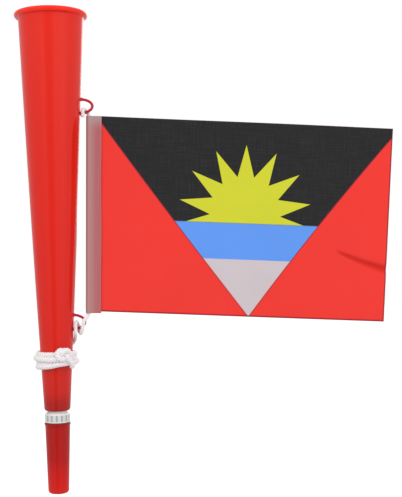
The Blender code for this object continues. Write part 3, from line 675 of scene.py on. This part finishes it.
def flag_print():
    """Dyed polyester: a dark field with a rising sun, two bands below it, and a plain corner on each side."""
    graph = Graph("flag_print")
    along, up = graph.map_place("flat")
    edge = (-PRINT_EDGE, PRINT_EDGE)
    left = beyond_seam(along, up, LEFT_CORNER, LEFT_BOW)
    right = beyond_seam(along, up, RIGHT_CORNER, RIGHT_BOW)
    inside = left.math("MINIMUM", right * -1.0)
    field = inside_sun(along, up).ramp(*edge).mix(BLACK, YELLOW)
    sea = (up - SEA_FOOT).ramp(*edge).mix(WHITE, BLUE)
    middle = (up - HORIZON).ramp(*edge).mix(sea, field)
    joined = ((up - HORIZON).near(0.6 * MM) * 0.5).mix(middle, JOIN_SHADE)
    bleed = (inside - 1.0 * MM).near(1.1 * MM) * 0.3 * up.ramp(SEA_FOOT, SEA_FOOT - MM)
    colour = inside.ramp(*edge).mix(RED, bleed.mix(joined, BLEED_PINK))
    seamed = ((inside + 0.15 * MM).near(0.75 * MM) * 0.62).mix(colour, SEAM_SHADE)
    fly = (along - PRINT_LENGTH).near(1.5 * MM)
    head = (up - PRINT_HEIGHT).near(0.9 * MM) * 0.8
    hem = fly.math("MAXIMUM", up.near(1.7 * MM).math("MAXIMUM", head))
    hemmed = (hem * 0.72).mix(seamed, HEM_SHADE)
    # Painted shade along the crease, on top of the crease's own shape
    creased = (crease_shade(along, up) * 0.5).mix(hemmed, CREASE_SHADE)
    warp = streaks(along, up, 1400.0, (1.0, 0.04))
    weft = streaks(along, up, 1100.0, (0.05, 1.0))
    threads = ((warp + weft) * 0.5).ramp(0.42, 0.72)
    paler = (inside.ramp(*edge) * 0.035 + 0.01).mix(creased, (0.75, 0.75, 0.75))
    worn = (threads * 0.4).mix(creased, paler)
    blotch = graph.noise(24.0, 3.0).ramp(0.3, 0.75)
    inked = (blotch * 0.04).mix(worn, (0.02, 0.01, 0.01))
    height = weave_height(along, up, 0.42 * MM) + threads * 0.5
    graph.shade(Sheen_Weight=0.03, Sheen_Roughness=0.4, Specular_IOR_Level=0.15)
    return graph.finish(inked, 0.85, height.bump(0.05 * MM, 0.4))


def tape_surface():
    """Undyed tape, woven closely, that the red cloth inside tints towards its sewn edge as painted red light,
    with painted shade at its fold round the cord.
    """
    graph = Graph("sleeve_tape")
    along, up = graph.map_place("flat")
    dark_top = up.ramp(FLAG_HEIGHT - 12.0 * MM, FLAG_HEIGHT)
    # Painted shade at the fold and painted red light from the cloth inside, by distance from the cord
    grey = (dark_top * 0.7).mix(along.steps(TAPE_TINTS_AND_SHADE), TAPE_TOP)
    slubs = streaks(along, up, 900.0, (1.0, 0.03))
    threads = (slubs * 0.12).mix(grey, TAPE_SLUB)
    graph.shade(Sheen_Weight=0.05, Sheen_Roughness=0.5, Specular_IOR_Level=0.2)
    return graph.finish(threads, 0.85, weave_height(along, up, 0.5 * MM).bump(0.06 * MM, 0.5))


def thread_surface():
    graph = Graph("sewing_thread")
    twist = graph.noise(4000.0, 2.0, (1.0, 1.0, 0.4))
    tone = (twist * 0.4).mix((0.47, 0.19, 0.2), (0.58, 0.3, 0.31))
    return graph.finish(tone, 0.7, twist.bump(0.03 * MM, 0.5), Sheen_Weight=0.05)


def bell_radius(height):
    """Outer radius of the bell's side at a height: a cone that swells a little between its ends."""
    share = (height - BELL_FOOT) / (RIM_FOOT - BELL_FOOT)
    cone = (BELL_FOOT_DIAMETER + share * (BELL_TOP_DIAMETER - BELL_FOOT_DIAMETER)) / 2
    return cone + BELL_SWELL * 4 * share * (1 - share)


def mouth_radius(height):
    """Outer radius of the mouthpiece's taper at a height."""
    share = height / (MOUTH_LENGTH - LIP_HEIGHT)
    return (MOUTH_END_DIAMETER + share * (MOUTH_TOP_DIAMETER - MOUTH_END_DIAMETER)) / 2


def make_mouthpiece():
    bore = MOUTH_BORE / 2
    socket = LOWER_SPIGOT_DIAMETER / 2 + SEAT_GAP
    socket_foot = LOWER_SPIGOT_FOOT - SEAT_GAP
    lip_foot = MOUTH_LENGTH - LIP_HEIGHT
    end = MOUTH_END_ROUND
    heights = [lip_foot * i / MOUTH_STEPS for i in range(2, MOUTH_STEPS)]
    lip_reach = LIP_RADIUS - mouth_radius(lip_foot)
    outline = [
        *arc((bore + EDGE, EDGE), EDGE, 180, 270, 6),
        *arc((mouth_radius(end) - end, end), end, 270, 360, 14),
        *((mouth_radius(height), height) for height in heights),
        *arc((LIP_RADIUS, lip_foot - LIP_FILLET_DROP), lip_reach, 180, 90, 5, LIP_ROUND)[:-1],
        *arc((LIP_RADIUS - LIP_ROUND, MOUTH_LENGTH - LIP_ROUND), LIP_ROUND, 0, 90, 7),
        (socket, MOUTH_LENGTH),
        (socket, socket_foot),
        (min(mouth_radius(socket_foot) - MOUTH_WALL, socket - SEAT_GAP), socket_foot),
        (mouth_radius(MOUTH_CHAMBER_START) - MOUTH_WALL, MOUTH_CHAMBER_START),
        (bore, MOUTH_BORE_DEPTH),
    ]
    return turned("mouthpiece_shell", outline)


def make_reed_holder():
    lower, upper = LOWER_SPIGOT_DIAMETER / 2, UPPER_SPIGOT_DIAMETER / 2
    shallot, collar = SHALLOT_DIAMETER / 2, COLLAR_DIAMETER / 2
    air, small_bore = AIR_BORE / 2, SHALLOT_BORE / 2
    spigot_top, end_wall = HOLDER_HIGH.z, SHALLOT_FOOT + SHALLOT_END_WALL
    outline = [
        (0.0, SHALLOT_FOOT),
        *arc((shallot - EDGE, SHALLOT_FOOT + EDGE), EDGE, 270, 360, 5),
        (shallot, LOWER_SPIGOT_FOOT), (lower - EDGE, LOWER_SPIGOT_FOOT),
        (lower, LOWER_SPIGOT_FOOT + EDGE), (lower, COLLAR_FOOT),
        *arc((collar - EDGE / 2, COLLAR_FOOT + EDGE / 2), EDGE / 2, 270, 360, 4),
        (collar, COLLAR_TOP), (upper + EDGE, NECK_FOOT), (upper, NECK_FOOT + EDGE / 2),
        *arc((upper - EDGE, spigot_top - EDGE), EDGE, 0, 90, 4),
        (air, spigot_top), (air, LOWER_SPIGOT_FOOT + SHALLOT_TAPER),
        (small_bore, LOWER_SPIGOT_FOOT - SHALLOT_TAPER), (small_bore, end_wall), (0.0, end_wall),
    ]
    holder = turned("reed_holder_body", outline)
    flat = bmesh.new()
    reach = SHALLOT_DIAMETER
    high = (reach, -SHALLOT_FLAT, LOWER_SPIGOT_FOOT - SEAT_GAP)
    box_mesh(flat, (-reach, -reach, SHALLOT_FOOT - reach), high)
    cut_away(holder, finish_mesh("flat_cutter", flat, smooth=False))
    half = WINDOW_WIDTH / 2
    foot = SHALLOT_FOOT + WINDOW_FROM_END
    window_outline = arc((0.0, foot + WINDOW_LENGTH - half), half, 0, 180, 12)
    window_outline += arc((0.0, foot + half), half, 180, 360, 12)
    window = extruded("window_cutter", window_outline, SHALLOT_DIAMETER)
    window.rotation_euler = (pi / 2, 0.0, 0.0)
    cut_away(holder, window)
    grooves = bmesh.new()
    low = (collar - PAD_GROOVE_DEPTH, -PAD_GROOVE_WIDTH / 2, COLLAR_FOOT + PAD_MARGIN)
    high = (collar + PAD_GROOVE_DEPTH, PAD_GROOVE_WIDTH / 2, COLLAR_TOP - PAD_MARGIN)
    for i in range(PAD_COUNT):
        box_mesh(grooves, low, high, Matrix.Rotation(2 * pi * (i + 0.5) / PAD_COUNT, 4, "Z"))
    cut_away(holder, finish_mesh("groove_cutter", grooves, smooth=False))
    return holder


def make_reed_clip():
    outer = CLIP_HIGH.x
    hole = SHALLOT_DIAMETER / 2 + SEAT_GAP
    flat = TONGUE_PLANE + TONGUE_THICKNESS / 2 + SEAT_GAP
    low, high = CLIP_LOW.z, CLIP_HIGH.z
    lower_edge = arc((outer - EDGE, low + EDGE), EDGE, 270, 360, 4)
    upper_edge = arc((outer - EDGE, high - EDGE), EDGE, 0, 90, 4)
    clip = turned("reed_clip_ring", [(0.0, low), *lower_edge, *upper_edge, (0.0, high)])
    half_angle = degrees(acos(flat / hole))
    hole_outline = arc((0.0, 0.0), hole, half_angle - 90, 270 - half_angle, 60)
    cutter = extruded("hole_cutter", hole_outline, 2 * (high - low))
    cutter.location = (0.0, 0.0, low - (high - low) / 2)
    cut_away(clip, cutter)
    return clip


def make_reed_tongue():
    """A strip with a round tip, open by a small angle from the clip's lower face down."""
    half = TONGUE_WIDTH / 2
    slope = sin(radians(TONGUE_OPEN_DEG))
    stations = [TONGUE_ROOT * (1 - i / 4) for i in range(4)]
    stations += [-(TONGUE_LENGTH - half) * i / 10 for i in range(10)]
    columns = [(half, height) for height in stations]
    columns += arc((0.0, -TONGUE_LENGTH + half), half, 0, -86, 10)
    bm = bmesh.new()
    rows = []
    for width, height in columns:
        y = min(height, 0.0) * slope
        rows.append([bm.verts.new((width * share, y, height)) for share in (-1.0, -0.5, 0.0, 0.5, 1.0)])
    for upper, lower in zip(rows, rows[1:]):
        for i in range(4):
            bm.faces.new((upper[i], lower[i], lower[i + 1], upper[i + 1]))
    tongue = finish_mesh("reed_tongue_strip", bm)
    tongue.location = (0.0, -TONGUE_PLANE, CLIP_LOW.z)
    return thickened(tongue, TONGUE_FILM)


def make_bell():
    top_radius = BELL_TOP_DIAMETER / 2
    rim_round = RIM_HEIGHT / 2
    rim_middle = top_radius + RIM_OVERHANG - rim_round
    socket = UPPER_SPIGOT_DIAMETER / 2 + SEAT_GAP
    foot_end = bell_radius(BELL_FOOT) - FOOT_ROUND_INSET
    foot_round_top = BELL_FOOT + FOOT_ROUND_HEIGHT
    stop_top = UPPER_SPIGOT_TOP + STOP_HEIGHT
    bore_start = stop_top + STOP_TAPER
    inner_top = bell_radius(BELL_TOP) - BELL_WALL
    side_top = RIM_FOOT - RIM_FILLET
    sides = [side_top - (side_top - foot_round_top) * i / BELL_STEPS for i in range(1, BELL_STEPS)]
    bores = [bore_start + (BELL_TOP - bore_start) * i / BELL_STEPS for i in range(BELL_STEPS)]
    foot_reach = bell_radius(foot_round_top) - foot_end
    outline = [
        *arc((inner_top + EDGE, BELL_TOP - EDGE), EDGE, 180, 90, 6),
        *arc((rim_middle, BELL_TOP - rim_round), rim_round, 90, -90, 20),
        *arc((top_radius + RIM_FILLET, side_top), RIM_FILLET, 90, 180, 7),
        *((bell_radius(height), height) for height in sides),
        *arc((foot_end, foot_round_top), foot_reach, 0, -90, 14, FOOT_ROUND_HEIGHT),
        (socket, BELL_FOOT), (socket, UPPER_SPIGOT_TOP),
        (STOP_BORE / 2, UPPER_SPIGOT_TOP), (STOP_BORE / 2, stop_top),
        *((bell_radius(height) - BELL_WALL, height) for height in bores),
    ]
    return turned("bell_shell", outline)


def make_eyelet(name, middle):
    """A loop of wire that grows out of the bell's wall with a small fillet at each foot."""
    bend = (EYELET_HEIGHT - EYELET_WIRE) / 2
    wall = bell_radius(middle)
    reach = EYELET_REACH - EYELET_WIRE / 2 + EYELET_ROOT
    points = []
    for x, z in arc((0.0, 0.0), reach, 90, -90, EYELET_STEPS, bend):
        lean = (bell_radius(middle + z) - wall) * (1 - x / EYELET_REACH)
        points.append(Vector((wall - EYELET_ROOT + x + lean, 0.0, middle + z)))
    bm = bmesh.new()
    side = Vector((0.0, 1.0, 0.0))
    rings = []
    for before, point, after in zip(points[:1] + points, points, points[1:] + points[-1:]):
        from_wall = point.x - bell_radius(point.z)
        swell = max(0.0, 1.0 - max(from_wall, 0.0) / (2 * EYELET_FILLET))
        radius = EYELET_WIRE / 2 + EYELET_FILLET * swell**2
        up = (after - before).normalized().cross(side)
        rings.append(ring(bm, point, side, up, radius, EYELET_SIDES))
    skin(bm, rings)
    return finish_mesh(name, bm)


def smooth_curve(points, step):
    """Points about a step apart on a centripetal Catmull-Rom curve through the given points."""
    ends = [2 * points[0] - points[1]] + list(points) + [2 * points[-1] - points[-2]]
    made = []
    for p0, p1, p2, p3 in zip(ends, ends[1:], ends[2:], ends[3:]):
        t1 = sqrt((p1 - p0).length)
        t2 = t1 + sqrt((p2 - p1).length)
        t3 = t2 + sqrt((p3 - p2).length)
        count = max(1, round((p2 - p1).length / step))
        for i in range(count):
            t = t1 + (t2 - t1) * i / count
            a1 = p0 + (p1 - p0) * (t / t1)
            a2 = p1 + (p2 - p1) * ((t - t1) / (t2 - t1))
            a3 = p2 + (p3 - p2) * ((t - t2) / (t3 - t2))
            b1 = a1 + (a2 - a1) * (t / t2)
            b2 = a2 + (a3 - a2) * ((t - t1) / (t3 - t1))
            made.append(b1 + (b2 - b1) * ((t - t1) / (t2 - t1)))
    made.append(points[-1].copy())
    return made


def round_horn(azimuth_deg, radius, height):
    angle = radians(azimuth_deg)
    return Vector((radius * cos(angle), radius * sin(angle), height))


def cord_seat(height):
    """Distance from the axis to the centre of a cord that lies on the bell."""
    return bell_radius(height) + CORD_GAP + CORD_DIAMETER / 2


def from_eyelet(middle, offsets):
    """Route points given from the wall beside an eyelet, in millimetres."""
    wall = Vector((bell_radius(middle), 0.0, middle))
    return [wall + Vector(offset) * MM for offset in offsets]


def hinge_run():
    overrun = SEAT_GAP / FLAG_HEIGHT
    shares = (1 + overrun, 0.99, 0.5, 0.01, -overrun)
    return [HINGE_FOOT + HINGE_AXIS * FLAG_HEIGHT * share for share in shares]


def lead_in():
    span = WINDING_START_DEG - LEAD_START_DEG
    points = []
    for i in range(1, LEAD_POINTS + 1):
        azimuth = LEAD_START_DEG + LEAD_STEP_DEG * i
        left = (WINDING_START_DEG - azimuth) / span
        height = WINDING_TOP + CORD_PITCH * left * span / 360 + LEAD_DROP * left**LEAD_POWER
        height += winding_tilt(azimuth)
        points.append(round_horn(azimuth, cord_seat(height), height))
    return points


def winding_tilt(azimuth_deg):
    """How much higher the loops lie at an azimuth than on average."""
    return WINDING_TILT * cos(radians(azimuth_deg))


def winding_point(turns):
    azimuth = WINDING_START_DEG + 360 * turns
    tilt = winding_tilt(azimuth)
    height = WINDING_TOP - CORD_PITCH * turns + tilt
    if turns <= INNER_LOOPS:
        return round_horn(azimuth, cord_seat(height), height)
    climb = min((turns - INNER_LOOPS) / CLIMB_LOOPS, 1.0)
    base = WINDING_TOP - CORD_PITCH * (min(turns, INNER_LOOPS + CLIMB_LOOPS) - 1) + tilt
    height = base - CORD_PITCH * cos(climb * pi / 2)
    radius = cord_seat(base) + CORD_PITCH * sin(climb * pi / 2)
    outer = turns - INNER_LOOPS - CLIMB_LOOPS
    if outer > 0:
        height = base + CORD_PITCH * outer + OUTER_TILT * (1 - cos(2 * pi * outer))
        radius = cord_seat(height) + CORD_PITCH
    return round_horn(azimuth, radius, height)


def knot_frame():
    """The knot's own frame: Z out from the horn, Y up it and X round it."""
    radius = cord_seat(KNOT_Z) + CORD_PITCH + KNOT_DEPTH
    up, out = Vector((0, 0, 1)), round_horn(KNOT_AZIMUTH_DEG, 1.0, 0.0)
    return frame_at(out * radius + up * KNOT_Z, up.cross(out), up, out)


def knot_and_tail():
    knot = []
    for i in range(KNOT_POINTS + 1):
        angle = radians(360 - KNOT_CUT_DEG - (360 - 2 * KNOT_CUT_DEG) * i / KNOT_POINTS)
        radius = KNOT_RADIUS + KNOT_LOBE * cos(3 * angle)
        knot.append(Vector((radius * sin(2 * angle), -radius * cos(2 * angle), KNOT_DEPTH * sin(3 * angle))))
    entry, tail = [[Vector(place) * MM for place in places] for places in (KNOT_ENTRY, KNOT_TAIL)]
    return [knot_frame() @ point for point in entry + knot + tail]


def cord_route():
    """The whole route of the cord, as the solid has it but for the end of its tail."""
    count = round(WINDING_LOOPS * POINTS_PER_LOOP)
    turns = [winding_point(i / POINTS_PER_LOOP) for i in range(count + 1)]
    ties = from_eyelet(UPPER_EYELET_Z, UPPER_TIE) + hinge_run() + from_eyelet(LOWER_EYELET_Z, LOWER_TURN)
    points = smooth_curve(ties + lead_in(), CORD_STEP)
    return points + turns[:-2] + smooth_curve(turns[-2:] + knot_and_tail(), CORD_STEP)


def even_points(points, step):
    """The same line with its points an even step apart, as an array."""
    places = np.array(points)
    runs = np.linalg.norm(np.diff(places, axis=0), axis=1)
    along = np.concatenate([[0.0], np.cumsum(runs)])
    count = int(along[-1] / step)
    stations = np.linspace(0.0, along[-1], count + 1)
    return stations, np.stack([np.interp(stations, along, places[:, i]) for i in range(3)], axis=1)


def braid_height(stations, angles):
    """Height of a round braid, 0 in its grooves and 1 on its strands, for each ring and side."""
    round_part = BRAID_STRANDS * angles[None, :] / (2 * pi)
    along_part = BRAID_STRANDS * stations[:, None] / BRAID_PITCH
    first, second = round_part + along_part, round_part - along_part
    heights = []
    for across, along, sign in ((first, second, 1.0), (second, first, -1.0)):
        off_middle = 2 * (across - np.floor(across)) - 1
        strand = (1 - off_middle**2) ** 0.5
        parity = 1 - 2 * np.mod(np.floor(across), 2)
        over = sign * np.sin(pi * along) * parity
        heights.append(strand * (BRAID_MEAN + (1 - BRAID_MEAN) * over))
    return np.maximum(*heights)


def eased(share):
    """A smooth step from 0 to 1 as the share goes from 0 to 1."""
    share = np.clip(share, 0.0, 1.0)
    return share * share * (3 - 2 * share)


def drawn_tight(places):
    """The route with its outer loops and its knot drawn in, and the braid's thickness at each point."""
    wound = eased((SLACK_START - places[:, 2]) / SLACK_REACH)
    centre = np.array(knot_frame().translation)
    from_knot = np.linalg.norm(places - centre, axis=1)
    knotted = eased((KNOT_EXTENT - from_knot) / SLACK_REACH)
    made = centre + (places - centre) * (1 - (1 - KNOT_DRAW) * knotted)[:, None]
    across = np.linalg.norm(made[:, :2], axis=1)
    seats = np.array([cord_seat(height) for height in made[:, 2]])
    kept = WOUND_PRESS + (KNOT_PRESS - WOUND_PRESS) * knotted
    press = np.maximum(across - seats, 0.0) * (1 - kept) * wound
    made[:, :2] *= (1 - press / across)[:, None]
    thick = BRAID_DIAMETER + (WOUND_DIAMETER - BRAID_DIAMETER) * wound
    thick += (KNOT_DIAMETER - WOUND_DIAMETER) * knotted
    return made, thick


def make_cord():
    """A round braid modelled strand by strand along the route, with heat-sealed ends."""
    fine = smooth_curve(cord_route(), CORD_STEP / 3)
    stations, places = even_points(fine, BRAID_RING_STEP)
    places, thick = drawn_tight(places)
    ahead = np.gradient(places, axis=0)
    ahead /= np.linalg.norm(ahead, axis=1)[:, None]
    side = np.cross(ahead[0], (0.0, 1.0, 0.0))
    sides = np.arange(BRAID_SIDES)
    angles = 2 * pi * sides / BRAID_SIDES
    heights = braid_height(stations, angles)
    from_end = np.minimum(stations, stations[-1] - stations)
    sealed = np.clip(from_end / (BRAID_DIAMETER / 2), 0.0, 1.0)
    taper = np.sqrt(np.clip(1 - (1 - sealed) ** 2, END_AREA, 1.0))
    count = len(stations)
    verts = np.empty((count, BRAID_SIDES, 3))
    for i, (place, forward) in enumerate(zip(places, ahead)):
        side = side - forward * side.dot(forward)
        side /= np.linalg.norm(side)
        other = np.cross(forward, side)
        radius = thick[i] / 2 * taper[i] * (1 - BRAID_DEPTH * (1 - heights[i]))
        verts[i] = place + np.outer(radius * np.cos(angles), side) + np.outer(radius * np.sin(angles), other)
    number = np.arange(count - 1)[:, None]
    steps = ((0, 0), (1, 0), (1, 1), (0, 1))
    quads = [(number + on) * BRAID_SIDES + (sides + across) % BRAID_SIDES for across, on in steps]
    faces = np.stack(quads, axis=2).reshape(-1, 4).tolist()
    faces.append(list(range(BRAID_SIDES))[::-1])
    faces.append([(count - 1) * BRAID_SIDES + k for k in range(BRAID_SIDES)])
    mesh = bpy.data.meshes.new("cord_braid")
    mesh.from_pydata(verts.reshape(-1, 3).tolist(), [], faces)
    mesh.shade_smooth()
    corners = np.empty((count - 1, BRAID_SIDES, 4, 2))
    for k, (across, on) in enumerate(steps):
        corners[:, :, k, 0] = (sides + across) * BRAID_STRANDS / BRAID_SIDES
        corners[:, :, k, 1] = stations[number + on] * BRAID_STRANDS / BRAID_PITCH
    ends = np.zeros(4 * BRAID_SIDES)
    mesh.uv_layers.new(name="strands").data.foreach_set("uv", np.concatenate([corners.ravel(), ends]))
    return add_object("cord_braid", mesh)


def hinge_matrix():
    """The flag's own frame: Z up the hinge line, X along the cloth, origin at the sleeve's lower end."""
    out = round_horn(FLAG_YAW_DEG, 1.0, 0.0)
    out = (out - HINGE_AXIS * out.dot(HINGE_AXIS)).normalized()
    return frame_at(HINGE_FOOT, out, HINGE_AXIS.cross(out), HINGE_AXIS)


def sheet_object(name, rows, thickness):
    """A sheet through rows of points, each with its flat place, which go to a UV map in metres."""
    bm = bmesh.new()
    layer = bm.loops.layers.uv.new("flat")
    grid = [[(bm.verts.new(point), flat) for point, flat in row] for row in rows]
    for lower, upper in zip(grid, grid[1:]):
        for c in range(len(lower) - 1):
            corners = (lower[c], lower[c + 1], upper[c + 1], upper[c])
            face = bm.faces.new([vert for vert, _ in corners])
            for loop, (_, flat) in zip(face.loops, corners):
                loop[layer].uv = flat
    mesh = bpy.data.meshes.new(name)
    bm.to_mesh(mesh)
    bm.free()
    mesh.shade_smooth()
    return thickened(add_object(name, mesh), thickness)


def make_tape():
    """Tape folded round the cord, its two plies a little wavy at their free edges."""
    ply = CLOTH_SPACE / 2 + SEAT_GAP + TAPE_THICKNESS / 2
    bend = CORD_DIAMETER / 2 + SLEEVE_BORE_GAP + TAPE_THICKNESS / 2
    span = SLEEVE_EDGE - SLEEVE_PLY_START
    shares = [i / TAPE_PLY_STEPS for i in range(TAPE_PLY_STEPS + 1)]
    path = [(SLEEVE_EDGE - span * share, ply) for share in shares]
    path += arc((0.0, 0.0), bend, TAPE_LEAN_DEG, 360 - TAPE_LEAN_DEG, TAPE_FOLD_STEPS)
    path += [(SLEEVE_PLY_START + span * share, -ply) for share in shares]
    rows = []
    for row in range(TAPE_ROWS + 1):
        up = FLAG_HEIGHT * row / TAPE_ROWS
        rows.append([])
        for out, across in path:
            loose = max(0.0, out - SLEEVE_PLY_START) / span
            wave = TAPE_WAVE * sin(up / TAPE_WAVE_SPAN + across * TAPE_PLY_SHIFT) * loose
            drift = TAPE_DRIFT * (1 + sin(up / TAPE_DRIFT_SPAN)) * loose
            rows[-1].append(((out - drift, across + wave, up), (out, up)))
    return sheet_object("flag_tape", rows, TAPE_FILM)


def cloth_bulge(along, up):
    """How far the cloth stands off its plane at a place of the print: slow waves, and a crease."""
    share = max(along, 0.0) / PRINT_LENGTH
    wave = CLOTH_SWELL * sin(CLOTH_HALF_WAVES * pi * share + CLOTH_TWIST * up / PRINT_HEIGHT) * share
    grown, line = crease_line(along)
    if grown <= 0.0:
        return wave
    away = (up - line) / (CREASE_WIDTH * (CREASE_NARROW + (1 - CREASE_NARROW) * grown))
    return wave + CLOTH_CREASE * min(grown * CREASE_GROWTH, 1.0) / (1.0 + away**2) ** CREASE_FALL


def make_cloth():
    rows = []
    for row in range(CLOTH_ROWS + 1):
        up_share = row / CLOTH_ROWS
        up = CLOTH_FOOT_INSET + up_share * (FLAG_HEIGHT - CLOTH_FOOT_INSET)
        length = CLOTH_BOTTOM_LENGTH + CLOTH_TOP_EXTRA * up_share
        rows.append([])
        for column in range(CLOTH_COLUMNS + 1):
            beyond = (length + CLOTH_TUCK) * column / CLOTH_COLUMNS - CLOTH_TUCK
            place = (beyond / length * PRINT_LENGTH, up_share * PRINT_HEIGHT)
            fall = CLOTH_DROOP * max(beyond, 0.0) / length
            rows[-1].append(((SLEEVE_EDGE + beyond, cloth_bulge(*place), up - fall), place))
    return sheet_object("flag_sheet", rows, CLOTH_THICKNESS)


def make_stitches():
    """A row of lock stitches that closes the sleeve, on both faces of the tape."""
    out = SLEEVE_EDGE - STITCH_FROM_EDGE
    face = CLOTH_SPACE / 2 + SEAT_GAP + TAPE_THICKNESS - STITCH_SINK
    count = int((FLAG_HEIGHT - STITCH_PITCH) / STITCH_PITCH)
    bm = bmesh.new()
    for side in (-1, 1):
        for i in range(count):
            rings = []
            for k in range(STITCH_STEPS + 1):
                share = k / STITCH_STEPS
                swell = sin(pi * share)
                across = side * (face + STITCH_RADIUS * (swell * STITCH_ARCH - STITCH_DIP))
                up = STITCH_PITCH * (i + STITCH_START) + STITCH_LENGTH * share
                radius = STITCH_RADIUS * (1 - STITCH_TAPER + STITCH_TAPER * swell)
                axes = (Vector((1.0, 0.0, 0.0)), Vector((0.0, 1.0, 0.0)))
                rings.append(ring(bm, Vector((out, across, up)), *axes, radius, STITCH_SIDES))
            skin(bm, rings)
    return finish_mesh("flag_stitches", bm)


def make_pieces():
    bell_red = moulded_plastic("bell_red", 0.2, 1.45, BELL_SHADED_REDS)
    mouth_red = moulded_plastic("mouthpiece_red", 0.22, 1.38, MOUTH_SHADED_REDS)
    eyelet_red = moulded_plastic("eyelet_red", 0.24, 1.45, EYELET_REDS)
    holder_white = collar_plastic()
    clip_white = satin_plastic("clip_white", (0.82, 0.82, 0.8), 0.38)
    tongue_film = satin_plastic("tongue_film", (0.8, 0.79, 0.7), 0.25)
    dress(make_bell(), "horn", "bell_plastic", bell_red, "bell_foot", "horn_bell")
    dress(make_mouthpiece(), "mouth_end", "mouthpiece_plastic", mouth_red, "mouthpiece")
    dress(make_reed_holder(), "reed_unit", "holder_plastic", holder_white, "reed_holder")
    dress(make_reed_clip(), "reed_unit", "clip_plastic", clip_white, "reed_clip")
    dress(make_reed_tongue(), "tongue", "tongue_film", tongue_film, "reed_tongue")
    for name, middle in (("upper_eyelet", UPPER_EYELET_Z), ("lower_eyelet", LOWER_EYELET_Z)):
        dress(make_eyelet(name + "_loop", middle), "horn", "eyelet_plastic", eyelet_red, name)
    dress(make_cord(), "horn", "cord_braid", cord_surface(), "cord")
    tape, cloth, stitches = make_tape(), make_cloth(), make_stitches()
    for piece in (tape, cloth, stitches):
        piece.matrix_world = hinge_matrix()
    dress(tape, "flag", "sleeve_tape", tape_surface(), "flag_sleeve")
    dress(cloth, "flag", "flag_print", flag_print(), "flag_cloth")
    dress(stitches, "flag", "sleeve_tape", thread_surface())


def make_camera():
    """A camera at the photograph's place, level with the middle of the whole part."""
    data = bpy.data.cameras.new("camera")
    data.sensor_fit = "VERTICAL"
    data.sensor_height = SENSOR
    data.sensor_width = SENSOR * IMAGE_WIDTH / IMAGE_HEIGHT
    data.lens = SENSOR * FOCAL_PIXELS / IMAGE_HEIGHT
    data.clip_start = 0.01
    camera = add_object("camera", data)
    yaw, pitch, roll = map(radians, CAMERA_TURN_DEG)
    forward = Vector((sin(yaw) * cos(pitch), cos(yaw) * cos(pitch), sin(pitch)))
    level = Vector((cos(yaw), -sin(yaw), 0.0))
    upright = level.cross(forward)
    right = level * cos(roll) + upright * sin(roll)
    up = upright * cos(roll) - level * sin(roll)
    camera.matrix_world = frame_at(CAMERA_PLACE, right, up, -forward)
    bpy.context.scene.camera = camera


def area_light(name, place, size, power, mirrored):
    """A soft light aimed at the part. Plastic mirrors it only if mirrored is true."""
    data = bpy.data.lights.new(name, "AREA")
    data.shape = "RECTANGLE"
    data.size, data.size_y = size
    data.energy = power
    light = add_object(name, data)
    light.location = place
    light.visible_camera = False
    light.visible_glossy = mirrored
    light.rotation_euler = (LIGHT_TARGET - Vector(place)).to_track_quat("-Z", "Y").to_euler()


def plane(name, size, place):
    """A square plane that casts no shadow and lights nothing directly, and its material's graph."""
    bm = bmesh.new()
    bmesh.ops.create_grid(bm, x_segments=1, y_segments=1, size=size)
    made = finish_mesh(name, bm, smooth=False)
    made.location = place
    made.visible_diffuse = False
    made.visible_shadow = False
    graph = Graph(name)
    made.data.materials.append(graph.material)
    return made, graph


def make_world(scene):
    """White surroundings, dimmer as light than as the camera sees them."""
    world = bpy.data.worlds.new("studio")
    world.use_nodes = True
    scene.world = world
    nodes, links = world.node_tree.nodes, world.node_tree.links
    choice = nodes.new("ShaderNodeMixShader")
    links.new(nodes.new("ShaderNodeLightPath").outputs["Is Camera Ray"], choice.inputs[0])
    whites = ((nodes["Background"], WORLD_LIGHT), (nodes.new("ShaderNodeBackground"), 1.0))
    for index, (white, strength) in enumerate(whites):
        white.inputs["Color"].default_value = (1.0, 1.0, 1.0, 1.0)
        white.inputs["Strength"].default_value = strength
        links.new(white.outputs[0], choice.inputs[1 + index])
    links.new(choice.outputs[0], nodes["World Output"].inputs["Surface"])


def make_studio():
    """White surroundings, a pale floor well below the horn, and a dim card that the plastic mirrors."""
    scene = bpy.context.scene
    scene.view_settings.view_transform = "Standard"
    make_world(scene)

    floor, graph = plane("floor", 12.0, (0.0, 0.0, FLOOR_HEIGHT))
    floor.visible_glossy = False
    graph.shade(Base_Color=(0.93, 0.93, 0.93), Roughness=0.9)
    graph.shade(Emission_Color=(1.0, 1.0, 1.0), Emission_Strength=0.5)

    card, graph = plane("card", 1.0, CARD_PLACE)
    card.scale = (0.9, 1.6, 1.0)
    card.rotation_euler = (pi / 2, 0.0, 0.0)
    card.visible_camera = False
    edge = abs(graph.split(graph.place())[0]).ramp(0.15, 0.95)
    graph.shade(Base_Color=edge.mix((0.35, 0.35, 0.35), (0.98, 0.98, 0.98)))
    graph.shade(Roughness=1.0, Specular_IOR_Level=0.0)

    area_light("key", (-0.9, -1.2, 1.1), (1.4, 1.4), 11.5, False)
    area_light("fill", (1.2, -1.1, 0.9), (1.4, 1.4), 11.5, False)
    area_light("gleam", (1.3, -1.0, 0.7), (0.8, 1.8), 0.8, True)
    area_light("back", (0.3, 1.7, 0.8), (1.2, 1.2), 9.0, True)


make_camera()
make_pieces()
make_studio()
